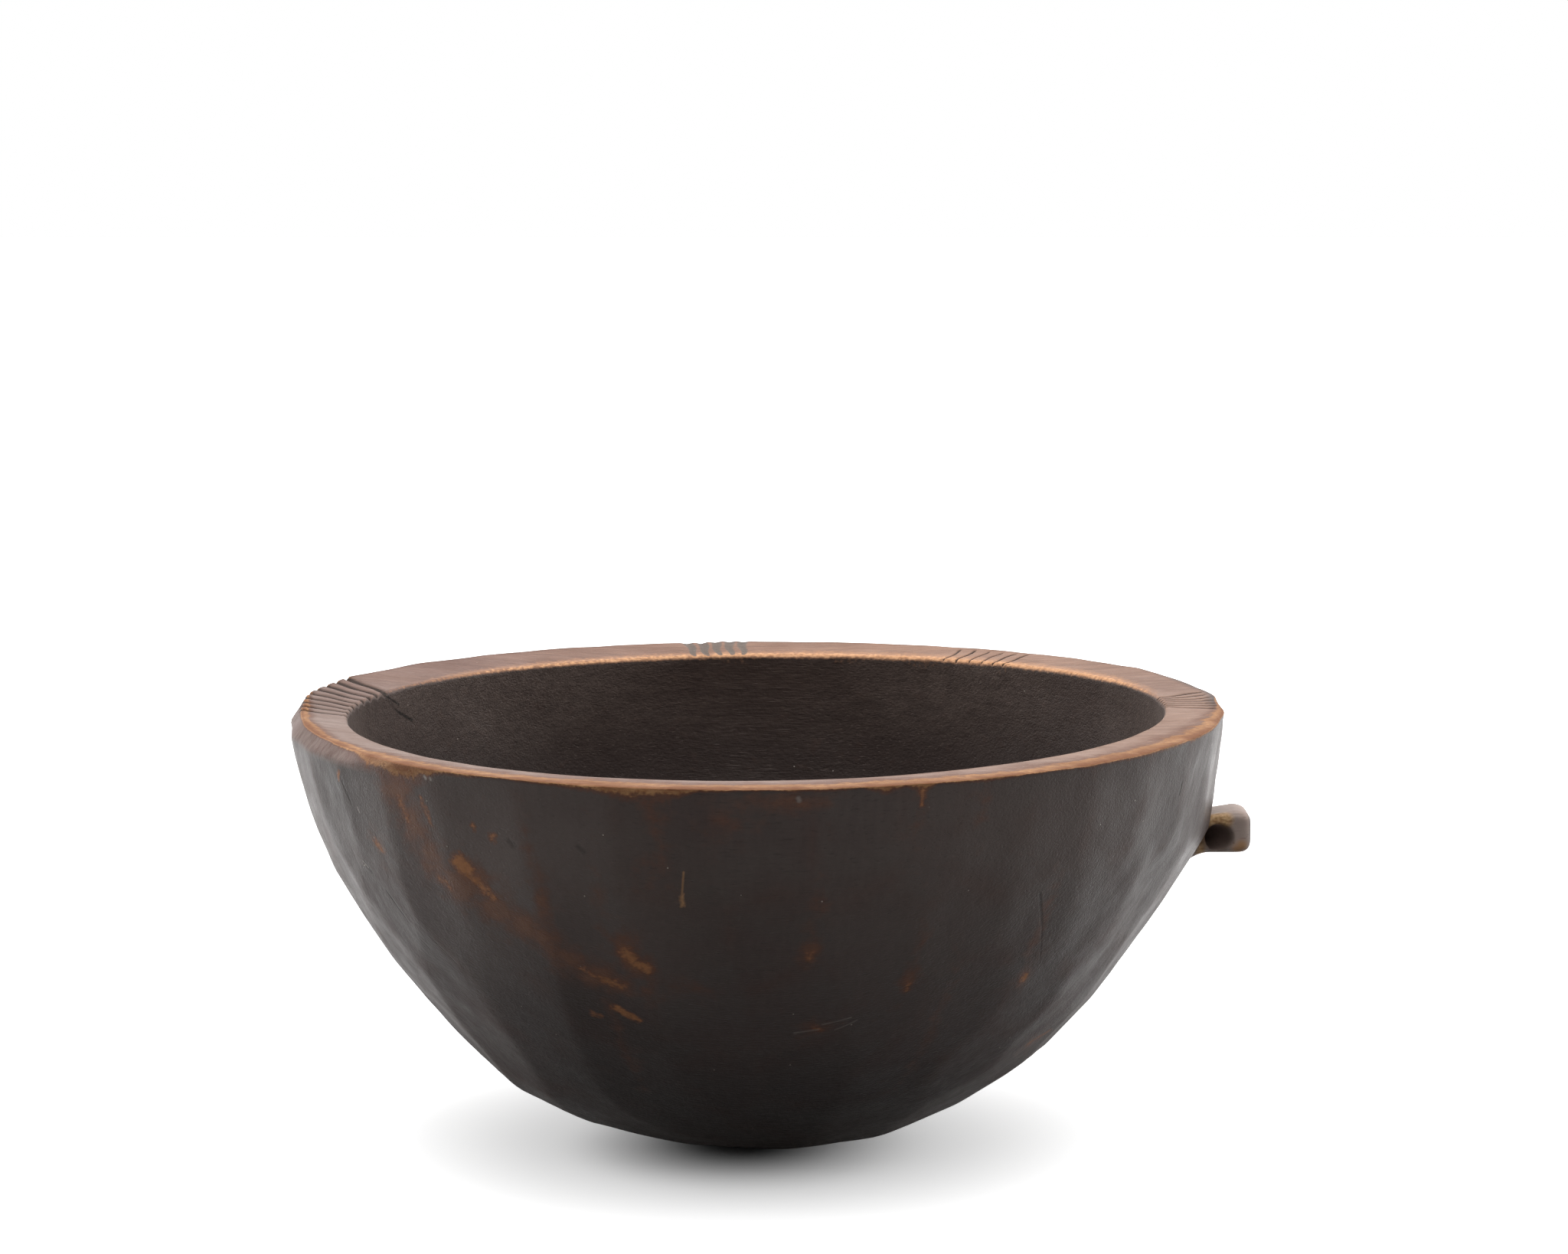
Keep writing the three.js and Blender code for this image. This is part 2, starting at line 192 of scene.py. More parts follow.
def adze_cuts():
    """All the cuts, row by row. Those that face the front are flat across and bend with the wall."""
    cuts = []
    for number, (at, count, front) in enumerate(CUT_ROWS):
        height = at * BOWL_HEIGHT
        rest = count - len(front)
        step = (360 + front[0] - front[-1]) / (rest + 1)
        back = [front[-1] + step * (i + CUT_SCATTER * scatter(i, count)) for i in range(1, rest + 1)]
        drift = BASE_DRIFT * (1 - at) ** 12
        for i, azimuth in enumerate(front + back):
            depth = CUT_DEPTH * (1 + scatter(i, number + 1))
            radius = wall_radius(azimuth, height) + drift * sin(radians(azimuth)) - depth
            turned = min(max(abs(azimuth) - 50, 0) / 25, 1)
            hollow = CUT_HOLLOW * turned * (1 + 0.7 * scatter(number + 3, i))
            bend = CUT_BEND * (1 - turned * (azimuth > 0)) * wall_bend(azimuth, height)
            cuts.append(cut_plane(azimuth, wall_lean(azimuth, height), radius, height, hollow, bend))
    return cuts


CUTS = adze_cuts()


def wall_reach(directions):
    """How far the wall is from the eye in each direction, how near a ridge is, and in which cut it is."""
    down = -directions[..., 2]
    reaches = [np.where(down > GLANCING, EYE[2] / np.maximum(down, GLANCING), FAR)]
    for normal, middle, along, up, hollow, bend in CUTS:
        towards = directions @ normal
        distance = (middle - EYE) @ normal
        reach = np.where(towards > GLANCING, distance / np.maximum(towards, GLANCING), FAR)
        offset = EYE + directions * reach[..., None] - middle
        across = np.clip(offset @ along, -CUT_HALF_WIDTH, CUT_HALF_WIDTH)
        rise = np.clip(offset @ up, -CUT_HALF_HEIGHT, CUT_HALF_HEIGHT)
        reaches.append(reach + hollow * (across * across - HOLLOW_LEVEL) - bend * rise * rise / 2)
    azimuth = np.degrees(np.arctan2(directions[..., 0], -directions[..., 1]))
    tilt = np.degrees(np.arcsin(directions[..., 2]))
    turn = np.abs(azimuth - END_BEVEL_AZIMUTH)
    width = END_BEVEL_WIDTH * (1 - np.minimum(turn / END_BEVEL_REACH, 2) ** 4)
    bevel = atan2(END_BEVEL_WIDTH, END_BEVEL_HEIGHT)
    run = (RIM_RADIUS - width) * cos(bevel) + (BOWL_HEIGHT - EYE[2]) * sin(bevel)
    towards = np.hypot(directions[..., 0], directions[..., 1]) * cos(bevel) + directions[..., 2] * sin(bevel)
    reaches.append(np.where(towards > GLANCING, run / np.maximum(towards, GLANCING), FAR))
    reaches = np.stack(reaches)
    nearest = reaches.argmin(0)
    reaches = np.sort(reaches, axis=0)[:MEETING_CUTS]
    least = reaches[0]
    crisp = 0
    for share, start, run, start_tilt, run_tilt in CRISP_ZONES:
        crisp = crisp + share * fade(azimuth, start, run) * fade(tilt, start_tilt, run_tilt)
    sharpness = SOFT_RIDGE + (CRISP_RIDGE - SOFT_RIDGE) * np.clip(crisp, 0, 1)
    sharpness = sharpness + (TOP_RIDGE - sharpness) * fade(tilt, 14, 3.5)
    rounded = least - np.log(np.exp(-sharpness * (reaches - least)).sum(0)) / sharpness
    return rounded, np.exp(-(reaches[1] - least) / RIDGE_BREADTH), nearest


def toward(azimuth, tilt):
    """The direction at an azimuth and a tilt above level."""
    level = np.cos(tilt)[..., None] * outward(azimuth)
    return np.concatenate([level, np.sin(tilt)[..., None]], -1)


def wall_points(directions):
    """The worn wall in each direction from the eye, how near a ridge is, and in which cut it is."""
    reach, ridge, cut = wall_reach(directions)
    points = EYE + directions * reach[..., None]
    return points - WORN_AWAY * directions * np.clip(points[..., 2:], 0, 1), ridge, cut


def ripple(points, size, seed):
    """Gentle unevenness, from -1 to 1, with hollows about one size apart."""
    total = 0
    for i in range(6):
        direction = np.array([scatter(i, seed), scatter(i, seed + 1), scatter(i, seed + 2)])
        direction /= np.linalg.norm(direction)
        total = total + np.sin(points @ direction * 2 * pi / size + 9 * scatter(seed, i))
    return total / 6


# Bowl: the rim and the hollow
# The broad top of the rim falls towards the hollow, most at the back and least by the lug. Four groups of
# knife cuts cross it, and its edges are worn round, most of all at the front.
RIM_WIDTH = 9.2
RIM_WARP = 0.5  # how much higher its ends stand than its front and back
RIM_TILT = 0.2  # degrees up towards the lug
RIM_SLOPE = 3  # degrees down towards the hollow
LUG_SIDE_EASE = 2.5  # how much less that is by the lug
BACK_DIP = 3.4  # and how much more at the back
RIM_WAVES = 0.06
MOUTH_RADIUS = RIM_RADIUS - RIM_WIDTH
FLOOR_THICKNESS = 9.5
HOLLOW_POWER = 2.1
HOLLOW_FULLNESS = 0.5
FURROW = (2.5, 1.9, 0.5, 0)  # width at the outer and inner end, depth, and how far from the hollow it stops
SCORE = (1.5, 1.1, 0.34, 0)
LINE = (0.8, 0.65, 0.3, 0)
NOTCH = (2.5, 1.1, 0.24, 0.8)
KNIFE_CUTS = [  # kind, azimuth of the middle, number, degrees apart, turned from the radius, and fanned out
    (FURROW, -99.5, 9, 3, -21, 1.6),
    (NOTCH, 186, 5, 1.85, 0, 0),
    (LINE, 145.5, 6, 2.1, 4, 0),
    (SCORE, 92.2, 7, 1.9, 2, 7),
]
EDGE_DOWN = 0.45  # how far the rounding of the outer edge reaches down the wall
EDGE_IN = 1.1  # and in over the rim
HANDLED_DOWN = -0.1  # how much further down it reaches where the bowl is handled most
HANDLED_IN = 2.6
HANDLED_AZIMUTH = 20
LIP_ROUND = 0.9
COLUMNS = 480
FINE = 5  # columns in place of one where there are knife cuts
WALL_ROWS = 84
EDGE_ROWS = 7
RIM_ROWS = 18
HOLLOW_ROWS = 34
SEARCH_STEPS = 20  # halvings that find a place on the wall


def rim_height(x, y):
    """Height of the rim's top."""
    radius = np.maximum(np.hypot(x, y), 1)
    slope = np.radians(RIM_SLOPE - LUG_SIDE_EASE * x / radius + BACK_DIP * np.maximum(y, 0) / radius)
    warp = RIM_WARP * x * x / RIM_RADIUS**2
    return BOWL_HEIGHT - (RIM_RADIUS - radius) * np.tan(slope) + x * tan(radians(RIM_TILT)) + warp


def knife_depth(x, y):
    """Depth of the knife cuts at a place on the rim, and how far into a cut or notch it is, from 0 to 1."""
    radius = np.hypot(x, y)
    depth = np.zeros_like(x)
    inside = np.zeros_like(x)
    in_notch = np.zeros_like(x)
    for (outer_width, inner_width, full, stop), middle, count, pitch, turn, fan in KNIFE_CUTS:
        inner = MOUTH_RADIUS + stop
        for i in range(count):
            place = i - (count - 1) / 2
            azimuth = middle + pitch * place
            start = outward(azimuth) * (inner + RIM_RADIUS) / 2
            run = outward(azimuth + turn + fan * place)
            along = (x - start[0]) * run[0] + (y - start[1]) * run[1]
            off = (x - start[0]) * run[1] - (y - start[1]) * run[0]
            off = off + 0.2 * np.sin(along * 0.8 + i)  # the knife wavers
            share = np.clip(along / (RIM_RADIUS - inner) + 0.5, 0, 1)
            width = inner_width + (outer_width - inner_width) * share
            groove = np.clip(1 - np.abs(off) / (width / 2), 0, 1)
            end = fade(radius, inner - 0.6, 0.8) * (np.abs(along) < RIM_WIDTH)
            if turn > 0:
                end = end * fade(radius, RIM_RADIUS - 0.4, -1.2)
            depth = np.maximum(depth, full * (1 + 0.25 * scatter(i, count)) * groove * end)
            level = (0.8 + 0.2 * scatter(i, count)) * groove * end
            if stop:
                in_notch = np.maximum(in_notch, level)
            else:
                inside = np.maximum(inside, level)
    return depth, inside, in_notch


def column_azimuths():
    """The columns' azimuths, and which of them run the whole way round the bowl."""
    step = 360 / COLUMNS
    azimuths, whole = [], []
    for i in range(COLUMNS):
        azimuth = i * step
        parts = 1
        for _, middle, count, pitch, turn, fan in KNIFE_CUTS:
            reach = pitch * count / 2 + (abs(turn) + fan * count / 2) / 12 + 1.5
            if abs((azimuth + step / 2 - middle + 180) % 360 - 180) < reach:
                parts = FINE
        for j in range(parts):
            azimuths.append(azimuth + step * j / parts)
            whole.append(j == 0)
    return np.array(azimuths), np.array(whole)


def curve_between(start, corner, end, count):
    """Points on a smooth bend from start to end, drawn towards the corner. The ends are left out."""
    shares = np.linspace(0, 1, count + 2)[1:-1, None, None]
    return (1 - shares) ** 2 * start + 2 * shares * (1 - shares) * corner + shares**2 * end


def with_height(plan, height):
    """Points from their places in plan and their heights."""
    return np.concatenate([plan, height[..., None]], -1)


azimuths, whole = column_azimuths()
low = np.zeros(len(azimuths))
high = np.full(len(azimuths), radians(30))
for _ in range(SEARCH_STEPS):
    tilt = (low + high) / 2
    point = wall_points(toward(azimuths, tilt))[0]
    above = point[:, 2] > rim_height(point[:, 0], point[:, 1])
    high = np.where(above, tilt, high)
    low = np.where(above, low, tilt)
corner_tilt = (low + high) / 2
corner = wall_points(toward(azimuths, corner_tilt))[0]

uneven = 1 + 0.35 * ripple(corner, 17, 3) + 0.25 * ripple(corner, 6, 8)
handled = np.clip(np.cos(np.radians(azimuths - HANDLED_AZIMUTH)) + 0.2, 0, 1)
edge_down = (EDGE_DOWN + HANDLED_DOWN * handled) * uneven
edge_in = (EDGE_IN + HANDLED_IN * handled) * uneven
inner_edge = LIP_ROUND + 0.3 * ripple(corner, 14, 5)

below = corner_tilt - edge_down / np.linalg.norm(corner - EYE, axis=1)
edge_start = wall_points(toward(azimuths, below))[0]
corner_radius = np.hypot(corner[:, 0], corner[:, 1])
mouth = MOUTH_RADIUS + 0.25 * ripple(corner, 40, 11) + 0.1 * ripple(corner, 9, 12)


def on_rim(radius):
    """A point on the rim's top in each column."""
    plan = outward(azimuths) * radius[:, None]
    return with_height(plan, rim_height(plan[:, 0], plan[:, 1]))


edge_end = on_rim(corner_radius - edge_in)
lip = on_rim(mouth)
lip_start = on_rim(mouth + inner_edge)
top = lip[:, 2] - inner_edge
lip_end = with_height(outward(azimuths) * mouth[:, None], top)

shares = np.linspace(0, 1, RIM_ROWS + 2)[:, None, None]
rim_rings = np.concatenate([
    edge_start[None],
    curve_between(edge_start, corner, edge_end, EDGE_ROWS),
    edge_end + (lip_start - edge_end) * shares,
    curve_between(lip_start, lip, lip_end, EDGE_ROWS),
    lip_end[None],
])
cut_depth, in_cut, in_notch = knife_depth(rim_rings[..., 0], rim_rings[..., 1])
rim_rings[..., 2] -= cut_depth
flat = np.zeros(len(rim_rings))
flat[EDGE_ROWS + 1:-EDGE_ROWS - 1] = 1
rim_rings[..., 2] += RIM_WAVES * (ripple(rim_rings, 11, 21) - 1) * flat[:, None]

outline_heights = BOWL_HEIGHT * np.linspace(0, 1, 300) ** 2
outline_radii = outline_radius(outline_heights)
steps = np.hypot(np.diff(outline_radii), np.diff(outline_heights))
lengths = np.concatenate([[0], outline_radii[0] + np.concatenate([[0], np.cumsum(steps)])])
tilts = np.concatenate([[-pi / 2], np.arctan2(outline_heights - EYE[2], outline_radii)])
close_below = 0.96  # the rows lie closer together above this share of the way up
row_places = [np.linspace(0, close_below, WALL_ROWS)[1:], np.linspace(close_below, 1, 10)[1:-1]]
row_places = np.concatenate(row_places)
row_shares = np.interp(row_places * lengths[-1], lengths, tilts)
row_shares = (row_shares + pi / 2) / (tilts[-1] + pi / 2)
wall_tilts = -pi / 2 + row_shares[:, None] * (below[whole] + pi / 2)
wall_directions = toward(np.broadcast_to(azimuths[whole], wall_tilts.shape), wall_tilts)
wall_rings, wall_ridge, wall_cut = wall_points(wall_directions)
outwards = wall_directions * (wall_rings[..., 2:] > 1)
sideways = fade(np.abs(wall_directions[..., 0]), 0.5, 0.5)
lumps = 0.05 * ripple(wall_rings, 7, 31) + 0.08 * ripple(wall_rings, 19, 36)
lumps = lumps + 0.07 * sideways * ripple(wall_rings, 4.5, 51)
lumps = lumps * fade(corner[whole][:, 2] - wall_rings[..., 2], 0.5, 3)
wall_rings = wall_rings + outwards * lumps[..., None]

hollow_top = top[whole]
arc = np.linspace(0, 1, HOLLOW_ROWS + 1)[1:-1][::-1]
hollow_share = (np.sin(arc * pi / 2) ** 2 * 0.55 + arc**2 * 0.45)[:, None]
hollow_radius = mouth[whole] * (1 - (1 - hollow_share) ** HOLLOW_POWER) ** HOLLOW_FULLNESS
hollow_height = FLOOR_THICKNESS + (hollow_top - FLOOR_THICKNESS) * hollow_share
hollow_rings = with_height(outward(azimuths[whole]) * hollow_radius[..., None], hollow_height)
waves = 0.0025 * (ripple(hollow_rings, 16, 41) + 0.5 * ripple(hollow_rings, 7, 44))
hollow_rings[..., :2] *= 1 - waves[..., None]

vertices = [np.zeros((1, 3))]
vertices += [rings.reshape(-1, 3) for rings in (wall_rings, rim_rings, hollow_rings)]
vertices.append(np.array([[0, 0, FLOOR_THICKNESS]]))
starts = np.cumsum([0] + [len(part) for part in vertices])
count = COLUMNS
fine_count = len(azimuths)
whole_at = np.flatnonzero(whole)
faces = []


def join_rings(lower, upper, number):
    """Joins two rings of the same number of points."""
    for i in range(number):
        j = (i + 1) % number
        faces.append((lower + i, lower + j, upper + j, upper + i))


def join_to_fine(coarse, fine, up):
    """Joins a ring of whole columns to one that has the fine columns too."""
    for i in range(count):
        j = (i + 1) % count
        first = whole_at[i]
        last = whole_at[j] if j else fine_count
        run = [fine + k % fine_count for k in range(first, last + 1)]
        face = [coarse + i, coarse + j] + run[::-1]
        faces.append(face if up else face[::-1])


for i in range(count):
    faces.append((0, starts[1] + (i + 1) % count, starts[1] + i))
for row in range(len(wall_rings) - 1):
    join_rings(starts[1] + row * count, starts[1] + (row + 1) * count, count)
join_to_fine(starts[2] - count, starts[2], True)
for row in range(len(rim_rings) - 1):
    join_rings(starts[2] + row * fine_count, starts[2] + (row + 1) * fine_count, fine_count)
join_to_fine(starts[3], starts[3] - fine_count, False)
for row in range(len(hollow_rings) - 1):
    join_rings(starts[3] + row * count, starts[3] + (row + 1) * count, count)
for i in range(count):
    faces.append((starts[4] - count + i, starts[4] - count + (i + 1) % count, starts[4]))

bowl_mesh = bpy.data.meshes.new("bowl_wood")
bowl_mesh.from_pydata(np.concatenate(vertices) * MM, [], [tuple(int(k) for k in face) for face in faces])
bowl_mesh.shade_smooth()
bowl_mesh.validate()

UNWORN = -1.5  # the wear's level far from a worn edge
EDGE_WEAR = [  # azimuth, and how far down the wall and in over the rim the outer edge is worn bare
    (-180, 0.2, 0.4), (-135, 0.2, 0.4), (-102, 0.2, 0.4), (-94, 0.4, 1), (-75, 0.5, 1.6), (-63, 0.5, 1.8),
    (-56, 1, 2.6), (-50, 2.6, 3.8), (-44, 2.6, 4.4), (-39, 0.7, 4.8), (-30, 0.3, 5.2), (-24, 0.4, 5.6),
    (-18, 0.9, 5.8), (-14, 1.5, 5.8), (-10, 1.3, 5.8), (-6, 0.4, 5.4), (2, 0.35, 5), (7, 0.5, 5),
    (12, 0.3, 5), (15, 1, 5), (17, 0.3, 5), (19.2, 1.1, 5), (21, 0.3, 5), (26, 0.5, 5), (32, 0.3, 4.6),
    (45, 0.4, 4.2), (60, 0.5, 4), (75, 0.4, 3.6), (83, 0.3, 2.2), (89, 0.2, 0.6), (95, 0.15, 0.25),
    (130, 0.2, 0.4),
]
LIP_WEAR = [  # azimuth, how far from the lip it is worn bare, and how bare it is
    (-180, 4.2, 1), (-150, 3.6, 0.9), (-130, 2.6, 0.7), (-118, 1.4, 0.3), (-105, 1, 0.15), (-60, 0.6, 0),
    (60, 0.6, 0), (95, 1.2, 0.2), (104, 2.6, 0.7), (118, 4, 1), (160, 4.6, 1),
]
RIM_TONES = [  # azimuth, how grey the top of the rim is, partly its own colour and partly painted sheen, and how warm and light
    (-180, 0, 0.5), (-165, 0, 0.3), (-150, 0.1, 0.2), (-135, 0.1, 0), (-118, 0.2, 0.05),
    (-105, 0.55, 0.05), (-85, 1, 0.1), (-40, 1, 0.2), (0, 0.8, 0.2), (60, 0.8, 0.5), (85, 0.75, 0.5),
    (105, 0.5, 0.3), (130, 0.2, 0.5), (160, 0, 0.65),
]
PAINTED_LIGHT_AND_SHADE = [  # azimuth, height, half breadth and half height in mm, painted light above 0 and painted shade below
    (-40, 62, 20, 9, 0.4), (-21, 60, 12, 9, 0.4), (-33, 53, 9, 7, 0.55), (-37, 42, 8, 7, 0.4),
    (24, 62, 14, 9, 0.4), (44, 60, 14, 8, 0.4), (20, 45, 14, 8, 0.25), (-15, 46, 8, 7, 0.3),
    (2, 58, 14, 8, 0.15), (-80, 52, 6, 14, 0.7), (80, 60, 5, 9, 0.5), (-54, 30, 5, 8, -0.2),
    (-30, 22, 8, 10, -0.4), (0, 14, 30, 8, -0.5), (30, 14, 16, 7, -0.4), (45, 42, 8, 6, -0.1),
    (48, 30, 6, 7, -0.1), (-60, 63, 5, 5, -0.7), (64, 50, 6, 8, -0.4), (-50, 22, 8, 9, 0.35),
    (-15, 38, 8, 7, 0.3), (20, 30, 14, 10, 0.2),
]
BROWN_GLOWS = [  # azimuth, height, half breadth and half height in mm, and how strongly the brown shows
    (-46.3, 65.5, 3.4, 4, 1), (-44.3, 60, 3, 4.4, 0.95), (-42.4, 55, 3, 4.4, 0.9), (-38.8, 51, 3.4, 3, 1),
    (-35.8, 52.5, 3, 3, 1), (-33.8, 48.2, 3.6, 3, 1.05), (-30.5, 46, 3.6, 2.8, 1),
    (-27.5, 43.8, 3, 2.4, 0.95), (-25, 41, 3.4, 2.4, 0.95), (-21.5, 38.4, 3.4, 2, 1),
    (-18.7, 36.8, 2.6, 1.6, 1), (-26.5, 50, 1.5, 6, 0.75), (-27, 58, 1.2, 7, 0.45), (-16.3, 43, 2, 3, 1),
    (-15, 40.5, 2.4, 1.8, 1.05), (-14.5, 36.5, 1.6, 2.6, 0.6), (-8, 37, 3.4, 1.4, 0.4),
    (-11, 65, 2, 3, 0.5), (-10.5, 59, 1.2, 4, 0.45), (-2.5, 64.3, 4, 2, 0.45), (-12, 56, 3.4, 3.4, 0.3),
    (7.2, 43.3, 1.6, 2.4, 0.75), (8, 51, 1.8, 5, 0.35), (21.2, 38, 1.3, 2.8, 0.75),
    (21.5, 44, 1, 3.6, 0.4), (41, 35.3, 1.6, 1.6, 0.8), (59, 20.3, 3, 2.2, 0.6), (9, 30, 3.4, 1.3, 0.6),
    (40, 44, 1.2, 7, 0.55), (-53, 55, 2, 3, 0.55), (-21, 26, 1.2, 10, 0.45), (28, 28, 1.2, 9, 0.45),
    (3, 67.5, 7, 1.8, 0.65), (19, 64, 1.2, 5, 0.45), (27, 66, 1.3, 3.6, 0.5), (-19, 50, 1.2, 9, 0.35),
]


def vertex_value(name, wall, rim, hollow, base=0, floor=0):
    """Gives each point of the bowl a value that its material reads."""
    attribute = bowl_mesh.attributes.new(name, "FLOAT", "POINT")
    parts = [[base], np.broadcast_to(wall, wall_rings.shape[:2]).ravel()]
    parts += [np.broadcast_to(rim, rim_rings.shape[:2]).ravel()]
    parts += [np.broadcast_to(hollow, hollow_rings.shape[:2]).ravel(), [floor]]
    attribute.data.foreach_set("value", np.concatenate(parts).astype(np.float32))


def patch(points, middle, height, breadth, rise):
    """1 in the middle of a patch of the wall, fading away at its half breadth and half height."""
    azimuth = np.degrees(np.arctan2(points[..., 0], -points[..., 1]))
    radius = np.hypot(points[..., 0], points[..., 1])
    across = np.radians(azimuth - middle) * radius / breadth
    up = (points[..., 2] - height) / rise
    return np.exp(-0.7 * (across * across + up * up))


def glow(points):
    """How strongly the brown shows through the polish."""
    total = np.zeros(points.shape[:2])
    for *place, strength in BROWN_GLOWS:
        total = np.maximum(total, strength * patch(points, *place))
    return total


def edge_wear(points, turn, corner):
    """1 on the rim's outer corner, falling to 0 where the edge stops being worn, and below that beyond."""
    at, down, over = np.array(EDGE_WEAR).T
    inwards = np.hypot(corner[:, 0], corner[:, 1]) - np.hypot(points[..., 0], points[..., 1])
    inwards -= corner[:, 2] - points[..., 2]
    reach_in = np.interp(turn, at, over, period=360)
    reach_down = np.interp(turn, at, down, period=360)
    return np.clip(1 - np.abs(inwards) / np.where(inwards > 0, reach_in, reach_down), UNWORN, 1)


def lip_wear(points):
    """How bare the wood is beside the lip of the hollow."""
    at, reach, strength = np.array(LIP_WEAR).T
    outwards = np.hypot(points[..., 0], points[..., 1]) - mouth - (lip[:, 2] - points[..., 2])
    reach = np.interp(azimuths, at, reach, period=360) * np.where(outwards > 0, 1, 0.2)
    level = 1 - np.abs(outwards) / reach
    return np.clip(level, 0, 1) * np.interp(azimuths, at, strength, period=360)


rows_in = np.arange(len(rim_rings))
last = len(rim_rings) - 1
is_rim = fade(rows_in, 4, 4) * fade(rows_in, last - 1, -4)
rows_of_hollow = fade(rows_in, last - 3, 3)[:, None]
wall_wear = edge_wear(wall_rings, azimuths[whole], corner[whole])
rim_wear = edge_wear(rim_rings, azimuths, corner)
vertex_value("rim", 0, is_rim[:, None], 0)
vertex_value("edge", wall_wear, rim_wear, UNWORN, base=UNWORN, floor=UNWORN)
vertex_value("lip", 0, lip_wear(rim_rings), 0)
before_lip = fade(rows_in, last - 2, -3)[:, None]
vertex_value("cut", 0, in_cut * before_lip, 0)
vertex_value("notch", 0, in_notch * before_lip, 0)
vertex_value("hollow", 0, rows_of_hollow, 1, floor=1)
vertex_value("ridge", wall_ridge, 0, 0)
tones = np.array([scatter(i, 17) for i in range(len(CUTS) + 2)])
vertex_value("panel", tones[wall_cut] / 2 + 0.5, 0.5, 0.5)
tone_at, grey_and_sheen, warm = np.array(RIM_TONES).T
vertex_value("grey_and_sheen", 0, np.interp(azimuths, tone_at, grey_and_sheen, period=360), 0)
vertex_value("warm", 0, np.interp(azimuths, tone_at, warm, period=360), 0)
# Painted light and shade on the wall, and painted shade under the base.
painted_light_and_shade = sum(strength * patch(wall_rings, *place) for *place, strength in PAINTED_LIGHT_AND_SHADE)
vertex_value("light", np.clip(painted_light_and_shade, 0, 1), 0, 0)
vertex_value("dark", np.clip(-painted_light_and_shade, 0, 1), 0, 0, base=1)
turn = np.abs((azimuths - END_BEVEL_AZIMUTH + 180) % 360 - 180)
beside = fade(turn, END_BEVEL_REACH, -6)
drop = corner[whole][:, 2] - wall_rings[..., 2]
on_bevel = fade(drop, END_BEVEL_HEIGHT + 1, -0.8) * beside[whole]
vertex_value("bevel", on_bevel, beside * fade(rows_in, 4, -2)[:, None], 0)
# Depth in the hollow, which its painted shade follows.
vertex_value("painted_shade_depth", 0, 0, 1 - hollow_share, floor=1)
vertex_value("glow", glow(wall_rings), 0, 0)

bowl = new_object("carved_bowl", bowl_mesh)


def linear(hex_color):
    """The linear colour of an sRGB hex value."""
    channels = [int(hex_color[i:i + 2], 16) / 255 for i in (1, 3, 5)]
    return [c / 12.92 if c <= 0.04045 else ((c + 0.055) / 1.055) ** 2.4 for c in channels] + [1]


def add(kind, inputs=(), output=0, **settings):
    """Adds a node to the tree in hand. Its inputs are values or nodes' outputs, in order or by name."""
    node = tree.nodes.new("ShaderNode" + kind)
    for name, value in settings.items():
        setattr(node, name, value)
    for name, value in inputs.items() if isinstance(inputs, dict) else enumerate(inputs):
        if isinstance(value, bpy.types.NodeSocket):
            tree.links.new(value, node.inputs[name])
        else:
            node.inputs[name].default_value = value
    return node.outputs if output is None else node.outputs[output]


def new_material(name):
    """An empty material and its tree."""
    material = bpy.data.materials.new(name)
    material.use_nodes = True
    material.node_tree.nodes.clear()
    return material, material.node_tree


# Old dark hardwood gives an even brown-black, greyer where it is polished, partly a painted sheen, with fine
# pores along the grain.
# The real pores, fibres and grit are about half as coarse as here, and wouldn't show.
PATTERNS = {  # size along the grain and across it in mm, detail, and the levels that become 0 and 1
    "cloud": ((34, 26, 26), 2, 0.35, 0.65),
    "mottle": ((9, 6, 6), 3, 0.35, 0.65),
    "streak": ((26, 1.3, 1.3), 3, 0.4, 0.65),
    "grit": ((0.5, 0.35, 0.35), 2, 0.35, 0.7),
    "pores": ((2.6, 0.3, 0.3), 1, 0.62, 0.74),
    "fibre": ((5, 0.25, 0.25), 2, 0.4, 0.7),
    "blotch": ((2.6, 2, 2), 4, 0.3, 0.7),
    "crumb": ((0.8, 0.6, 0.6), 3, 0.3, 0.7),
    "scrape": ((1.2, 1.2, 14), 3, 0.35, 0.65),
}
RELIEF_DEPTH = 0.12 * MM
RAGGED_SIZE = 1.5  # mm: the edge of a ragged mark wanders this far along
RAGGED_SHIFT = 1.6  # mm: and up to half of this to a side
DUST_SPACING = 4.5  # mm
SMOOTH = {"interpolation_type": "SMOOTHSTEP"}


def wood_patterns():
    """The wood's patterns, each from 0 to 1, with the plain place on the bowl and a ragged one."""
    place = add("TexCoord", output="Object")
    patterns = {"place": place}
    for pattern, (size, detail, low, high) in PATTERNS.items():
        scale = tuple(1 / (s * MM) for s in size)
        scaled = add("VectorMath", [place, scale], operation="MULTIPLY")
        noise = add("TexNoise", {"Vector": scaled, "Scale": 1, "Detail": detail})
        patterns[pattern] = add("MapRange", [noise, low, high])
    uneven = add("TexNoise", {"Vector": place, "Scale": 1 / (RAGGED_SIZE * MM), "Detail": 2}, "Color")
    shift = add("VectorMath", [uneven, (0.5, 0.5, 0.5)], operation="SUBTRACT")
    shift = add("VectorMath", {0: shift, "Scale": RAGGED_SHIFT * MM}, operation="SCALE")
    patterns["ragged"] = add("VectorMath", [place, shift])
    return patterns


def lay_colours(ground, layers):
    """Lays colours over a ground, each through its mask and a share of that."""
    color = linear(ground) if isinstance(ground, str) else ground
    for mask, share, hue in layers:
        if share != 1:
            mask = add("Math", [mask, share], operation="MULTIPLY")
        over = linear(hue) if isinstance(hue, str) else hue
        color = add("Mix", {0: mask, 6: color, 7: over}, 2, data_type="RGBA")
    return color


def add_shares(start, parts):
    """A start value with a share of each part added."""
    for part, share in parts:
        start = add("Math", [part, share, start], operation="MULTIPLY_ADD")
    return start


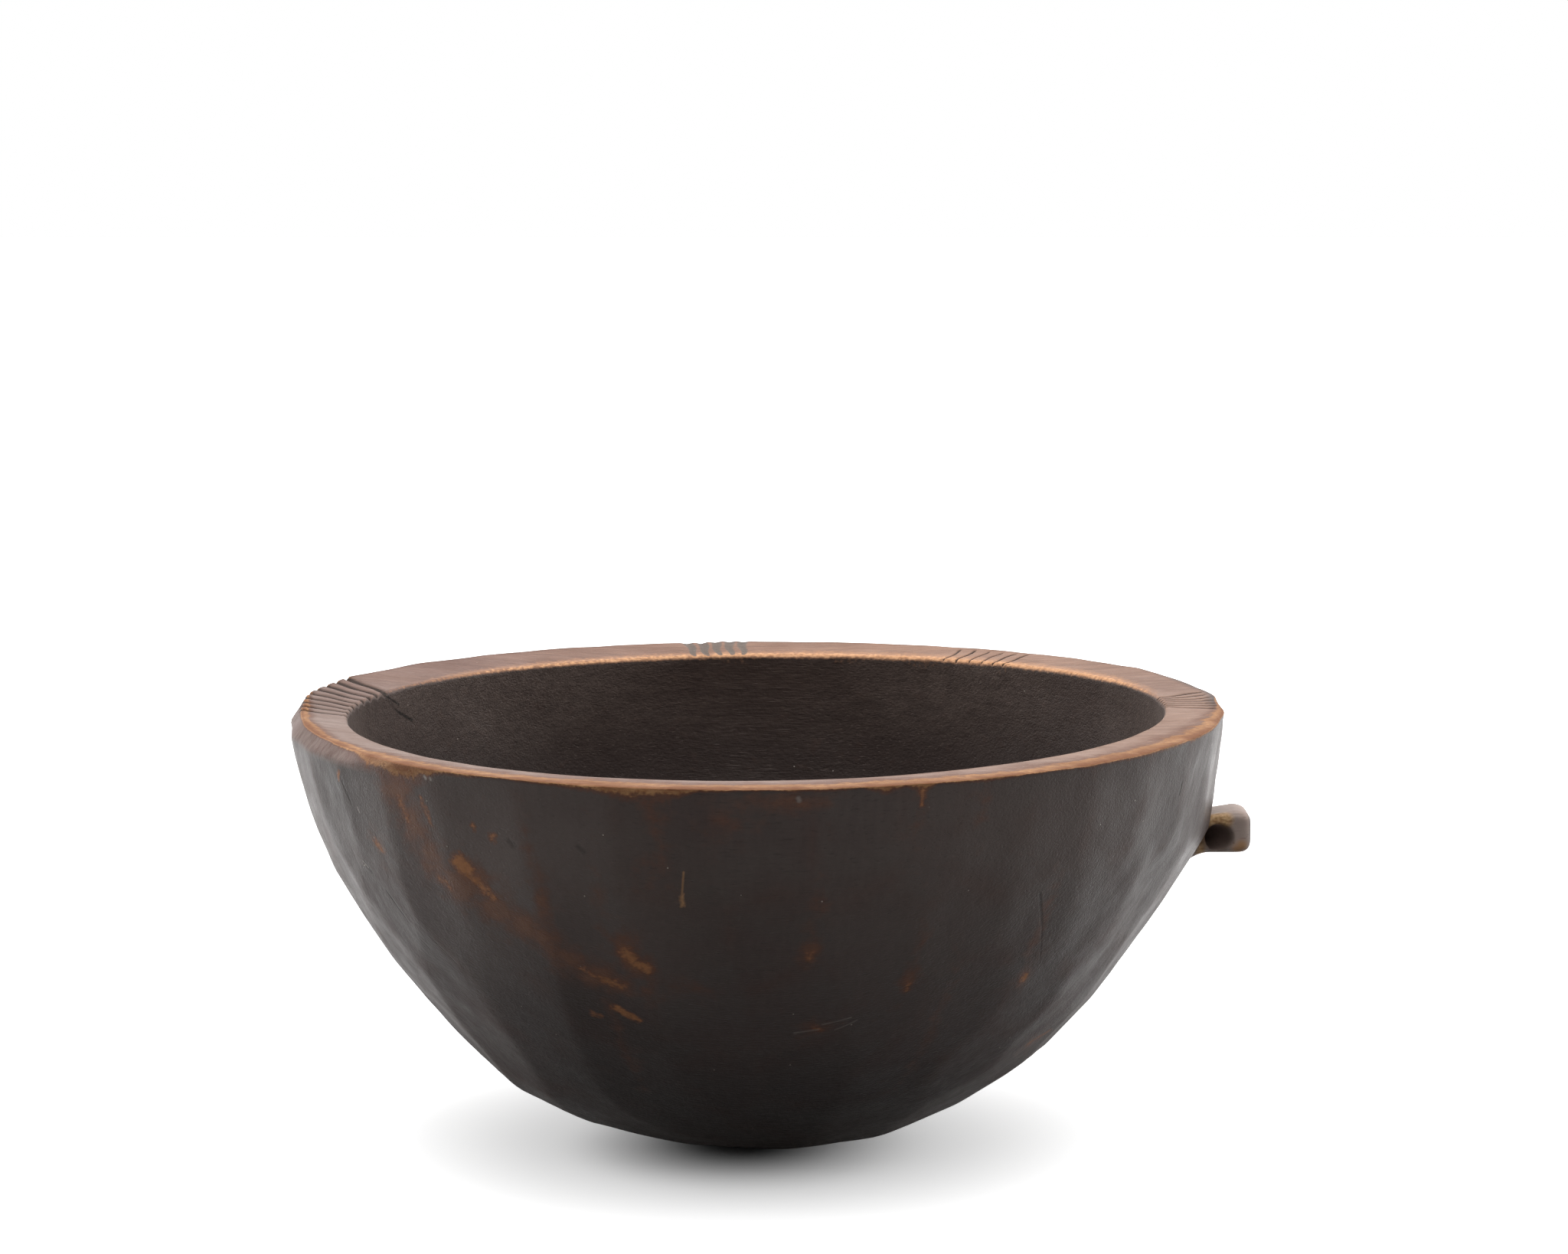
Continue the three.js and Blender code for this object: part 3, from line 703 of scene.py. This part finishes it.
def finish_wood(color, roughness, relief, sheen, sheen_roughness):
    """Gives the material in hand its grain and the low polish of old wood."""
    bump = add("Bump", {"Height": relief, "Strength": 0.6, "Distance": RELIEF_DEPTH})
    shader = add("BsdfPrincipled", {
        "Base Color": color,
        "Roughness": roughness,
        "Normal": bump,
        "Specular IOR Level": 0.14,
        "Specular Tint": linear("#fff4ec"),
        "Sheen Weight": sheen,
        "Sheen Roughness": sheen_roughness,
        "Sheen Tint": linear("#fff0e6"),
    })
    add("OutputMaterial", {"Surface": shader}, None)


def on_wall(azimuth, height):
    """The point on the outside at an azimuth and height, in mm."""
    low, high = radians(-80), radians(40)
    for _ in range(SEARCH_STEPS):
        middle = (low + high) / 2
        direction = toward(np.array([azimuth]), np.array([middle]))
        point = wall_points(direction)[0][0]
        low, high = (middle, high) if point[2] < height else (low, middle)
    return point


def stroke(start, end, width, soft=0.5):
    """1 along a line on the wood from start to end, in mm, fading to 0 outside its width."""
    start, run = np.array(start), np.array(end) - np.array(start)
    place = made["ragged"] if soft > 0.95 else made["place"]
    away = add("VectorMath", [place, tuple(start * MM)], operation="SUBTRACT")
    per_run = tuple(run / (run @ run) / MM)
    share = add("VectorMath", [away, per_run], "Value", operation="DOT_PRODUCT")
    share = add("Math", [share, 0], operation="ADD", use_clamp=True)
    nearest = add("VectorMath", {0: tuple(run * MM), "Scale": share}, operation="SCALE")
    off = add("VectorMath", [away, nearest], "Value", operation="DISTANCE")
    half = width / 2 * MM
    return add("MapRange", [off, half * (1 + soft), half * (1 - soft)], **SMOOTH)


def wall_marks(marks):
    """The strokes of a list, each from an azimuth and height to another, with a width and strength."""
    total = 0.0
    for azimuth, height, end_azimuth, end_height, width, soft, strength in marks:
        mask = stroke(on_wall(azimuth, height), on_wall(end_azimuth, end_height), width, soft)
        mask = add("Math", [mask, strength], operation="MULTIPLY")
        total = add("Math", [total, mask], operation="MAXIMUM")
    return total


material, tree = new_material("dark_hardwood")
made = wood_patterns()
rim_mask, edge, lip_level, cut, in_hollow, ridge, brown = [
    add("Attribute", output="Fac", attribute_name=name)
    for name in ("rim", "edge", "lip", "cut", "hollow", "ridge", "glow")
]

WORN_MARKS = [  # azimuth and height of each end, width in mm, softness, strength
    (-37.6, 54.9, -37, 54.2, 3.2, 1, 1.1), (-36.4, 53.2, -34.8, 51, 2, 1, 0.85),
    (-34.4, 50.4, -33.9, 49.8, 1.5, 1, 0.8), (-16.6, 42.8, -16, 41.8, 2.4, 1, 0.95),
    (-15.2, 40.9, -14, 40.3, 1.7, 1, 1.1), (-20, 32.7, -17, 30.9, 1.3, 1, 1.05),
    (-24, 31.4, -23.2, 31.1, 1, 1, 0.7), (-23.5, 39.4, -20.5, 37.8, 1.2, 1, 0.7),
    (-20.5, 37.8, -18.2, 36.7, 1.9, 1, 0.8), (-31.9, 59.9, -31.9, 59.6, 1.4, 1, 0.85),
    (-34.6, 61.4, -34.5, 60.8, 1, 1, 0.75), (-58.6, 65.6, -58.8, 64.9, 1.2, 1, 0.8),
    (41, 35.5, 41.1, 35, 1.4, 1, 0.9), (21.3, 37, 21.3, 36, 1.2, 1, 0.7),
    (7.2, 43.2, 7.3, 42.2, 1.4, 1, 0.6), (58, 20.5, 62, 21.5, 1.4, 1, 0.7),
    (-46, 64, -45.2, 60.5, 1.5, 1, 0.7), (-53.5, 55.5, -52.5, 54.5, 1.4, 1, 0.8),
    (19.3, 68.5, 19.2, 66.4, 0.9, 1, 0.8), (-42, 51.8, -40.5, 50.6, 1.5, 1, 0.65),
    (-42, 64.5, -41, 60.5, 1.1, 1, 0.6), (9, 30, 9.6, 29.6, 1.3, 1, 0.6),
]
SLIVER_MARKS = [
    (-8.1, 56.4, -8.5, 52.5, 0.3, 0.9, 0.6), (-8.5, 52.6, -8.6, 51, 0.7, 1, 0.9),
]
DARK_MARKS = [
    (37.8, 49.8, 40, 44.5, 0.55, 0.9, 0.6), (40, 44.5, 42.4, 38.5, 0.35, 0.9, 0.4),
    (-55.6, 47, -53.6, 43.5, 0.4, 0.7, 0.9), (-53.6, 43.5, -51, 38.2, 0.25, 0.7, 0.8),
    (-58.4, 51, -57.6, 49.8, 0.9, 0.8, 0.8), (-58.2, 64.8, -57.2, 61.5, 0.5, 0.9, 0.6),
    (62.5, 63.2, 62.6, 61.2, 0.45, 0.9, 0.7), (-29.5, 59.5, -29, 58.8, 0.9, 0.9, 0.5),
    (-20.5, 59.5, -20, 58.9, 0.8, 0.9, 0.5), (-66, 44, -60, 41.2, 0.2, 0.8, 0.6),
    (-70, 39, -62, 37.6, 0.2, 0.8, 0.5), (-56.5, 36.5, -53, 35.4, 0.2, 0.8, 0.6),
    (-49, 40.8, -46.2, 37, 0.2, 0.8, 0.6),
]
PALE_MARKS = [
    (-40.8, 68, -40.6, 67.8, 0.5, 0.9, 0.9), (-39.9, 67.9, -39.8, 67.7, 0.45, 0.9, 0.8),
    (-58.8, 51.2, -58.2, 50.4, 0.35, 0.9, 0.9), (-59.2, 50.4, -58.4, 50.8, 0.2, 0.9, 0.8),
    (6, 29.1, 9.5, 29.6, 0.35, 0.9, 0.3), (10, 30.5, 14, 31.6, 0.3, 0.9, 0.3),
    (12, 29.4, 15, 31, 0.25, 0.9, 0.25), (-55.8, 60.5, -55.6, 59.8, 0.3, 0.9, 0.6),
    (5, 67.9, 5.1, 67.6, 0.6, 0.9, 0.5),
]
worn_marks = wall_marks(WORN_MARKS)
slivers = wall_marks(SLIVER_MARKS)
dark_marks = wall_marks(DARK_MARKS)
HOLLOW_CRACKS = [  # azimuth, radius and height of the points along it, and its width in mm
    ([(-109.6, 66.2, 68.6), (-112, 65.8, 65.2), (-117, 65.5, 62.6)], 0.5),
    ([(-108.6, 65.9, 68.4), (-113.4, 65.7, 65.8)], 0.35),
]
hollow_cracks = 0.0
for points, width in HOLLOW_CRACKS:
    bends = [np.append(outward(azimuth) * radius, height) for azimuth, radius, height in points]
    for start, end in zip(bends, bends[1:]):
        mask = stroke(start, end, width, 0.9)
        hollow_cracks = add("Math", [hollow_cracks, mask], operation="MAXIMUM")
pale_marks = wall_marks(PALE_MARKS)

mottled_ridge = add("Math", [ridge, made["mottle"]], operation="MULTIPLY")
wall_color = lay_colours("#352c29", [
    (made["cloud"], 1, "#423937"),
    (made["mottle"], 0.35, "#37292a"),
    (add("Attribute", output="Fac", attribute_name="panel"), 0.5, "#4a4341"),
    (mottled_ridge, 0.5, "#452f28"),
    (made["scrape"], 0.15, "#1f1a19"),
    (made["pores"], 0.3, "#1d1817"),
    # Painted light where light and sheen fall on the wall, and painted shade low down and under the base.
    (add("Attribute", output="Fac", attribute_name="light"), 0.8, "#6a605c"),
    (add("Attribute", output="Fac", attribute_name="dark"), 1, "#120e0d"),
])
# Painted shade: the hollow darkens the deeper it goes.
painted_shade_depth = add("Attribute", output="Fac", attribute_name="painted_shade_depth")
hollow_color = lay_colours("#51443f", [
    (made["cloud"], 1, "#655852"),
    (add("MapRange", [painted_shade_depth, 0, 0.35], **SMOOTH), 0.85, "#251d1c"),
    (made["streak"], 0.3, "#2c2322"),
    (made["fibre"], 0.35, "#2a2120"),
    (made["pores"], 0.15, "#7a6c65"),
])
rim_color = lay_colours("#6b4e45", [
    (made["cloud"], 1, "#85685d"),
    # Greyer rim top: partly the wood's own grey and partly painted sheen.
    (add("Attribute", output="Fac", attribute_name="grey_and_sheen"), 0.85, "#958680"),
    (add("Attribute", output="Fac", attribute_name="warm"), 1, "#b58f77"),
    (made["mottle"], 0.3, "#6f564b"),
    (made["streak"], 0.25, "#4a332c"),
    (made["fibre"], 0.35, "#4f3a33"),
])
bevel_color = lay_colours("#6b4f47", [
    (made["mottle"], 1, "#5a4138"),
    (made["scrape"], 0.5, "#8f8079"),
])

# Worn edges: the bare wood is tan, granular where it meets the polish, and reddish at the very corner.
even_blotch = add("Math", [made["blotch"], 0.5], operation="SUBTRACT")
even_crumb = add("Math", [made["crumb"], 0.5], operation="SUBTRACT")
ragged = add_shares(-0.15, [(made["mottle"], 0.3), (even_blotch, 0.4), (even_crumb, 0.3)])
edge_level = add("Math", [edge, ragged], operation="ADD")
fringe = add("MapRange", [edge_level, -0.7, 0.2], **SMOOTH)
tan_edge = add("MapRange", [edge_level, 0.05, 0.5], **SMOOTH)
reddish = add("MapRange", [edge_level, 0.55, 0.95], **SMOOTH)
granular = add("Math", [even_crumb, 0.5, lip_level], operation="MULTIPLY_ADD")
at_lip = add("MapRange", [lip_level, 0, 0.1], **SMOOTH)
warm_lip = add("MapRange", [granular, 0.05, 0.6], **SMOOTH)
warm_lip = add("Math", [warm_lip, at_lip], operation="MULTIPLY")
bare_lip = add("MapRange", [granular, 0.55, 0.9], **SMOOTH)
bare_lip = add("Math", [bare_lip, at_lip], operation="MULTIPLY")
brown_level = add("Math", [even_blotch, 0.45, brown], operation="MULTIPLY_ADD")
patchy = add_shares(0.0, [(made["fibre"], 0.15), (even_crumb, 0.35)])
worn_level = add("Math", [worn_marks, patchy], operation="ADD")
near_mark = add("MapRange", [worn_marks, 0, 0.3], **SMOOTH)
worn_level = add("Math", [worn_level, near_mark], operation="MULTIPLY")
bare_mark = add("MapRange", [worn_level, 0.45, 1.2], **SMOOTH)
edge_tan = lay_colours("#936442", [
    (made["crumb"], 1, "#c6986c"),
    (made["mottle"], 0.5, "#7f573e"),
    (reddish, 0.75, "#77492f"),
])
lip_tan = lay_colours("#b8855f", [(made["crumb"], 1, "#e2b088")])
notch = add("Attribute", output="Fac", attribute_name="notch")
color = lay_colours(wall_color, [
    (in_hollow, 1, hollow_color),
    (rim_mask, 1, rim_color),
    (add("MapRange", [brown_level, 0.08, 0.9], **SMOOTH), 0.85, "#5f4033"),
    (add("MapRange", [brown_level, 0.5, 1.2], **SMOOTH), 0.7, "#785643"),
    (add("Attribute", output="Fac", attribute_name="bevel"), 1, bevel_color),
    (fringe, 0.7, "#613d2e"),
    (tan_edge, 0.85, edge_tan),
    (warm_lip, 0.55, "#b98a69"),
    (bare_lip, 0.9, lip_tan),
    # Painted shade inside the knife cuts.
    (add("MapRange", [cut, 0.05, 0.5], **SMOOTH), 0.92, "#21150f"),
    (add("MapRange", [notch, 0.03, 0.3], **SMOOTH), 0.85, "#615a54"),
    (hollow_cracks, 1, "#14100e"),
    (add("MapRange", [worn_level, 0, 0.7], **SMOOTH), 0.7, "#6d4836"),
    (bare_mark, 0.9, "#b9835c"),
    (slivers, 1, "#b58c68"),
    (dark_marks, 1, "#16100e"),
    (pale_marks, 1, "#a39a94"),
])
dust = add("TexVoronoi", {"Vector": made["place"], "Scale": 1 / (DUST_SPACING * MM)}, "Distance")
dust = add("Math", [dust, 0.03], operation="LESS_THAN")
color = lay_colours(color, [(dust, 0.5, "#b8aea4")])

bare_wood = add("Math", [tan_edge, bare_lip], operation="MAXIMUM")
bare_wood = add("Math", [bare_wood, bare_mark], operation="MAXIMUM")
roughness = add_shares(0.35, [
    (made["mottle"], 0.1), (bare_wood, 0.15), (in_hollow, 0.05), (rim_mask, 0.1), (made["scrape"], 0.05),
])
outside = add("Math", [in_hollow, rim_mask], operation="MAXIMUM")
outside = add("Math", [1, outside], operation="SUBTRACT")
scraped_wall = add("Math", [made["scrape"], outside], operation="MULTIPLY")
rough_hollow = add("Math", [made["crumb"], in_hollow], operation="MULTIPLY")
relief = add_shares(0.0, [
    (made["grit"], 0.3), (made["pores"], -0.5), (made["blotch"], 0.5), (made["fibre"], 0.35),
    (scraped_wall, 0.12), (rough_hollow, 0.5), (dark_marks, -1),
])
finish_wood(color, roughness, relief, 0.08, 0.3)
bowl_mesh.materials.append(material)

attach(bowl, "root")
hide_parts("bowl")


# Hanging lug
# It is carved from the same block, with its underside swept into the wall, and is pierced from both sides
# with slanting holes that meet. The wood is bare where the knife last cut it, at the root and by the hole.
LUG_REACH = 7.69
LUG_BREADTH = 9
LUG_CORNER = 2
LUG_FLARE = 2.4
LUG_EDGE = 1.4
LUG_SINK = 2.5  # how far its root lies inside the wall
LUG_SEAT_LEAN = 21
HOLE_WIDTH = 3.6
HOLE_HEIGHT = 4.6
HOLE_NARROWING = 0.5
HOLE_FROM_TIP = 5.3
HOLE_FROM_TOP = 4.3
HOLE_SLANT = radians(40)
HOLE_OVERLAP = 0.5  # how far each half runs past the middle
LUG_TOP_DIP = 1.2  # how much lower its top is at the root
LUG_GRAIN = 0.22  # spacing of the finished lug's points

seat_radius = wall_radius(90, LUG_MIDDLE)
tip = seat_radius + LUG_REACH
lug_bottom = LUG_TOP - LUG_HEIGHT
flare_start = seat_radius - LUG_HEIGHT / 2 * tan(radians(LUG_SEAT_LEAN))


def bend(start, corner, end, count=6):
    """Points on a smooth bend from start to end, with both ends."""
    shares = np.linspace(0, 1, count + 1)[:, None]
    start, corner, end = np.array(start), np.array(corner), np.array(end)
    points = (1 - shares) ** 2 * start + 2 * shares * (1 - shares) * corner + shares**2 * end
    return [tuple(point) for point in points]


flare_low = (flare_start - LUG_FLARE, lug_bottom - LUG_FLARE)
lug_outline = [(seat_radius - LUG_SINK, LUG_TOP - LUG_TOP_DIP), (flare_low[0] - 1.5, flare_low[1] - 2)]
lug_outline += bend(flare_low, (flare_start, lug_bottom), (flare_start + LUG_FLARE, lug_bottom))
lug_outline += bend((tip - LUG_CORNER, lug_bottom), (tip, lug_bottom), (tip, lug_bottom + LUG_CORNER))
lug_outline += bend((tip, LUG_TOP - LUG_CORNER), (tip, LUG_TOP), (tip - LUG_CORNER - 0.6, LUG_TOP))

solid = bmesh.new()
sides = [[solid.verts.new((x, y, z)) for x, z in lug_outline] for y in (-LUG_BREADTH / 2, LUG_BREADTH / 2)]
solid.faces.new(sides[0])
solid.faces.new(sides[1][::-1])
for i in range(len(lug_outline)):
    j = (i + 1) % len(lug_outline)
    solid.faces.new((sides[0][j], sides[0][i], sides[1][i], sides[1][j]))
bmesh.ops.recalc_face_normals(solid, faces=solid.faces)
rims = [edge for edge in solid.edges if abs(edge.verts[0].co.y - edge.verts[1].co.y) < 1e-6]
bmesh.ops.bevel(solid, geom=rims, offset=LUG_EDGE, segments=4, profile=0.5, affect="EDGES")
lug_mesh = bpy.data.meshes.new("lug_wood")
solid.to_mesh(lug_mesh)
solid.free()
lug = new_object("pierced_lug", lug_mesh)

drills = []
half_length = (LUG_BREADTH / 2 + HOLE_OVERLAP) / cos(HOLE_SLANT)
inwards = (LUG_BREADTH / 2 + HOLE_OVERLAP) * tan(HOLE_SLANT)
length = 1.5 * half_length
sizes = {"radius1": HOLE_NARROWING, "radius2": HOLE_NARROWING + (1 - HOLE_NARROWING) * length / half_length}
for side in (-1, 1):
    drill = bmesh.new()
    bmesh.ops.create_cone(drill, cap_ends=True, segments=32, depth=length, **sizes)
    drill.transform(Matrix.Translation((0, 0, length / 2)))
    drill.transform(Matrix.Diagonal((HOLE_WIDTH / 2, HOLE_HEIGHT / 2, 1, 1)))
    drill.transform(Matrix.Rotation(side * -pi / 2, 4, "X"))
    drill.transform(Matrix.Rotation(side * -HOLE_SLANT, 4, "Z"))
    deep_end = (tip - HOLE_FROM_TIP - inwards, -side * HOLE_OVERLAP, LUG_TOP - HOLE_FROM_TOP)
    drill.transform(Matrix.Translation(deep_end))
    drill_mesh = bpy.data.meshes.new("drill")
    drill.to_mesh(drill_mesh)
    drill.free()
    tool = new_object("drill", drill_mesh)
    bore = lug.modifiers.new("bore", "BOOLEAN")
    bore.operation = "DIFFERENCE"
    bore.object = tool
    drills.append(tool)
remesh = lug.modifiers.new("even", "REMESH")
remesh.mode = "VOXEL"
remesh.voxel_size = LUG_GRAIN
soften = lug.modifiers.new("soften", "SMOOTH")
soften.iterations = 7
bpy.context.view_layer.update()
finished = bpy.data.meshes.new_from_object(lug.evaluated_get(bpy.context.evaluated_depsgraph_get()))
lug.modifiers.clear()
lug.data = finished
for tool in drills:
    bpy.data.objects.remove(tool)
finished.transform(Matrix.Scale(MM, 4))
finished.shade_smooth()

# The lug's wood has the same patterns, painted much paler as a painted sheen and light on dark wood, and
# darker on the face looking out along it as painted shade; it is paler where it is held and worn, and a
# painted shadow darkens the hole.
material, tree = new_material("lug_hardwood")
made = wood_patterns()
front = -LUG_BREADTH / 2
hole_front = np.array([tip - HOLE_FROM_TIP, front, LUG_TOP - HOLE_FROM_TOP])
hole_middle = hole_front + [front * tan(HOLE_SLANT), -front, 0]
hole_back = hole_front * [1, -1, 1]
halves = [stroke(mouth_end, hole_middle, HOLE_HEIGHT, 0.25) for mouth_end in (hole_front, hole_back)]
shadow = add("Math", halves, operation="MAXIMUM")
root = seat_radius + 1.2
above_hole = stroke((root - 0.2, front, LUG_TOP - 1.2), (root + 2, front, LUG_TOP - 1.3), 2.8)
down_root = stroke((root - 0.4, -4, LUG_TOP - 1.5), (root - 1.8, -4, LUG_TOP - 6.5), 1.5, 0.6)
raw = add("Math", [above_hole, down_root], operation="MAXIMUM")
spot = stroke((tip - 2.2, front, LUG_TOP - 6.2), (tip - 1.6, front, LUG_TOP - 5.6), 1.8, 0.8)
raw_color = lay_colours("#b18555", [(made["crumb"], 1, "#e8c392")])
facing_for_painted_shade = add("SeparateXYZ", [add("NewGeometry", output="Normal")], "X")
# The pale ground is a painted sheen and light; the face looking out along the lug is painted darker, as
# shade.
color = lay_colours("#bbaaa2", [
    (made["cloud"], 1, "#c0b0a7"),
    (made["mottle"], 0.4, "#8a7268"),
    (add("MapRange", [facing_for_painted_shade, 0.6, 0.95], **SMOOTH), 0.85, "#4c423e"),
    (made["pores"], 0.4, "#4d433f"),
    (raw, 0.9, raw_color),
    (spot, 0.8, "#c99a6e"),
    (shadow, 0.8, "#4e3c36"),
])
crumbs = add("Math", [made["crumb"], 2], operation="MULTIPLY")
relief = add_shares(0.0, [(made["blotch"], 0.5), (raw, crumbs)])
finish_wood(color, 0.45, relief, 0.1, 0.35)
finished.materials.append(material)
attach(lug, "root")
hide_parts("hanging_lug")


# Floor
# A white sheet that fades out into the background. It keeps the bowl's shadow.
FLOOR_REACH = 3  # metres
SHADE_MIDDLE = (-0.003, -0.012, 0)  # metres: the sheet is shaded round here, at the front of the base

corners = [(x * FLOOR_REACH, y * FLOOR_REACH, 0) for x, y in ((-1, -1), (1, -1), (1, 1), (-1, 1))]
floor_mesh = bpy.data.meshes.new("floor")
floor_mesh.from_pydata(corners, [], [(0, 1, 2, 3)])
floor = new_object("floor", floor_mesh)
# White paper is matt, and shows the soft shadow and nothing else.
material, tree = new_material("white_paper")
rays = add("LightPath", output=None)
mirrored = add("Math", [rays["Is Glossy Ray"], rays["Is Transmission Ray"]], operation="MAXIMUM")
seen = add("Math", [rays["Is Camera Ray"], mirrored], operation="MAXIMUM")
place = add("VectorMath", [add("TexCoord", output="Object"), SHADE_MIDDLE], operation="SUBTRACT")
distance = add("VectorMath", [place], "Value", operation="LENGTH")
# The painted shade, where the sheet's white lift is held back, is deepest under the base and soft round it.
# Its reaches are in metres.
core = add("MapRange", [distance, 0.004, 0.031], **SMOOTH)
halo = add("MapRange", [distance, 0.02, 0.095, 0.38, 1], **SMOOTH)
# Painted shade in reflections: seen from the bowl, the sheet stays darker out to 0.25 m from the base.
beyond = add("MapRange", [distance, 0.02, 0.25], **SMOOTH)
reflected = add("Math", [rays["Is Camera Ray"], beyond], operation="MAXIMUM")
sheet = add("BsdfDiffuse", {"Color": lay_colours("#606060", [(seen, 1, "#f2f2f2")])})
strength = seen
for factor in (reflected, core, halo):
    strength = add("Math", [strength, factor], operation="MULTIPLY")
lift = add("Emission", {"Color": linear("#ffffff"), "Strength": strength})
add("OutputMaterial", {"Surface": add("AddShader", [sheet, lift])}, None)
floor_mesh.materials.append(material)


# Light
# Plain soft studio light: a white surround that is darker at the front, and four broad soft lamps.
world = bpy.data.worlds.new("surround")
bpy.context.scene.world = world
world.use_nodes = True
tree = world.node_tree
tree.nodes.clear()
rays = add("LightPath", output=None)
direction = add("SeparateXYZ", [add("TexCoord", output="Generated")], None)
lean = add("Math", [direction["Y"], 0.6], operation="MULTIPLY")
lean = add("Math", [direction["Z"], 0.5, lean], operation="MULTIPLY_ADD")
strength = add("MapRange", [lean, -0.6, 0.45, 0.15, 1], **SMOOTH)
mirrored = add("Math", [rays["Is Glossy Ray"], rays["Is Transmission Ray"]], operation="MAXIMUM")
share = add("Math", [mirrored, 0.5, 0.5], operation="MULTIPLY_ADD")
strength = add("Math", [strength, share], operation="MULTIPLY")
strength = add("Math", [strength, rays["Is Camera Ray"]], operation="MAXIMUM")
surround = add("Background", {"Color": linear("#ffffff"), "Strength": strength})
add("OutputWorld", {"Surface": surround}, None)

LAMPS = [  # name, place in metres, size, watts
    ("left_lamp", (-1.0, 0.35, 0.45), 0.7, 5),
    ("right_lamp", (1.0, 0.35, 0.45), 0.7, 5),
    ("top_lamp", (0, 0.1, 1.2), 0.8, 11),
    ("front_lamp", (0, -0.8, 1.2), 0.8, 3.8),
]
for name, spot, size, power in LAMPS:
    light = bpy.data.lights.new(name, "AREA")
    light.size = size
    light.energy = power
    lamp = new_object(name, light)
    lamp.location = spot
    x, y, z = spot
    lamp.rotation_euler = (atan2((x * x + y * y) ** 0.5, z), 0, atan2(x, -y))  # it faces the bowl

bpy.context.scene.view_settings.view_transform = "Standard"

bpy.context.view_layer.update()
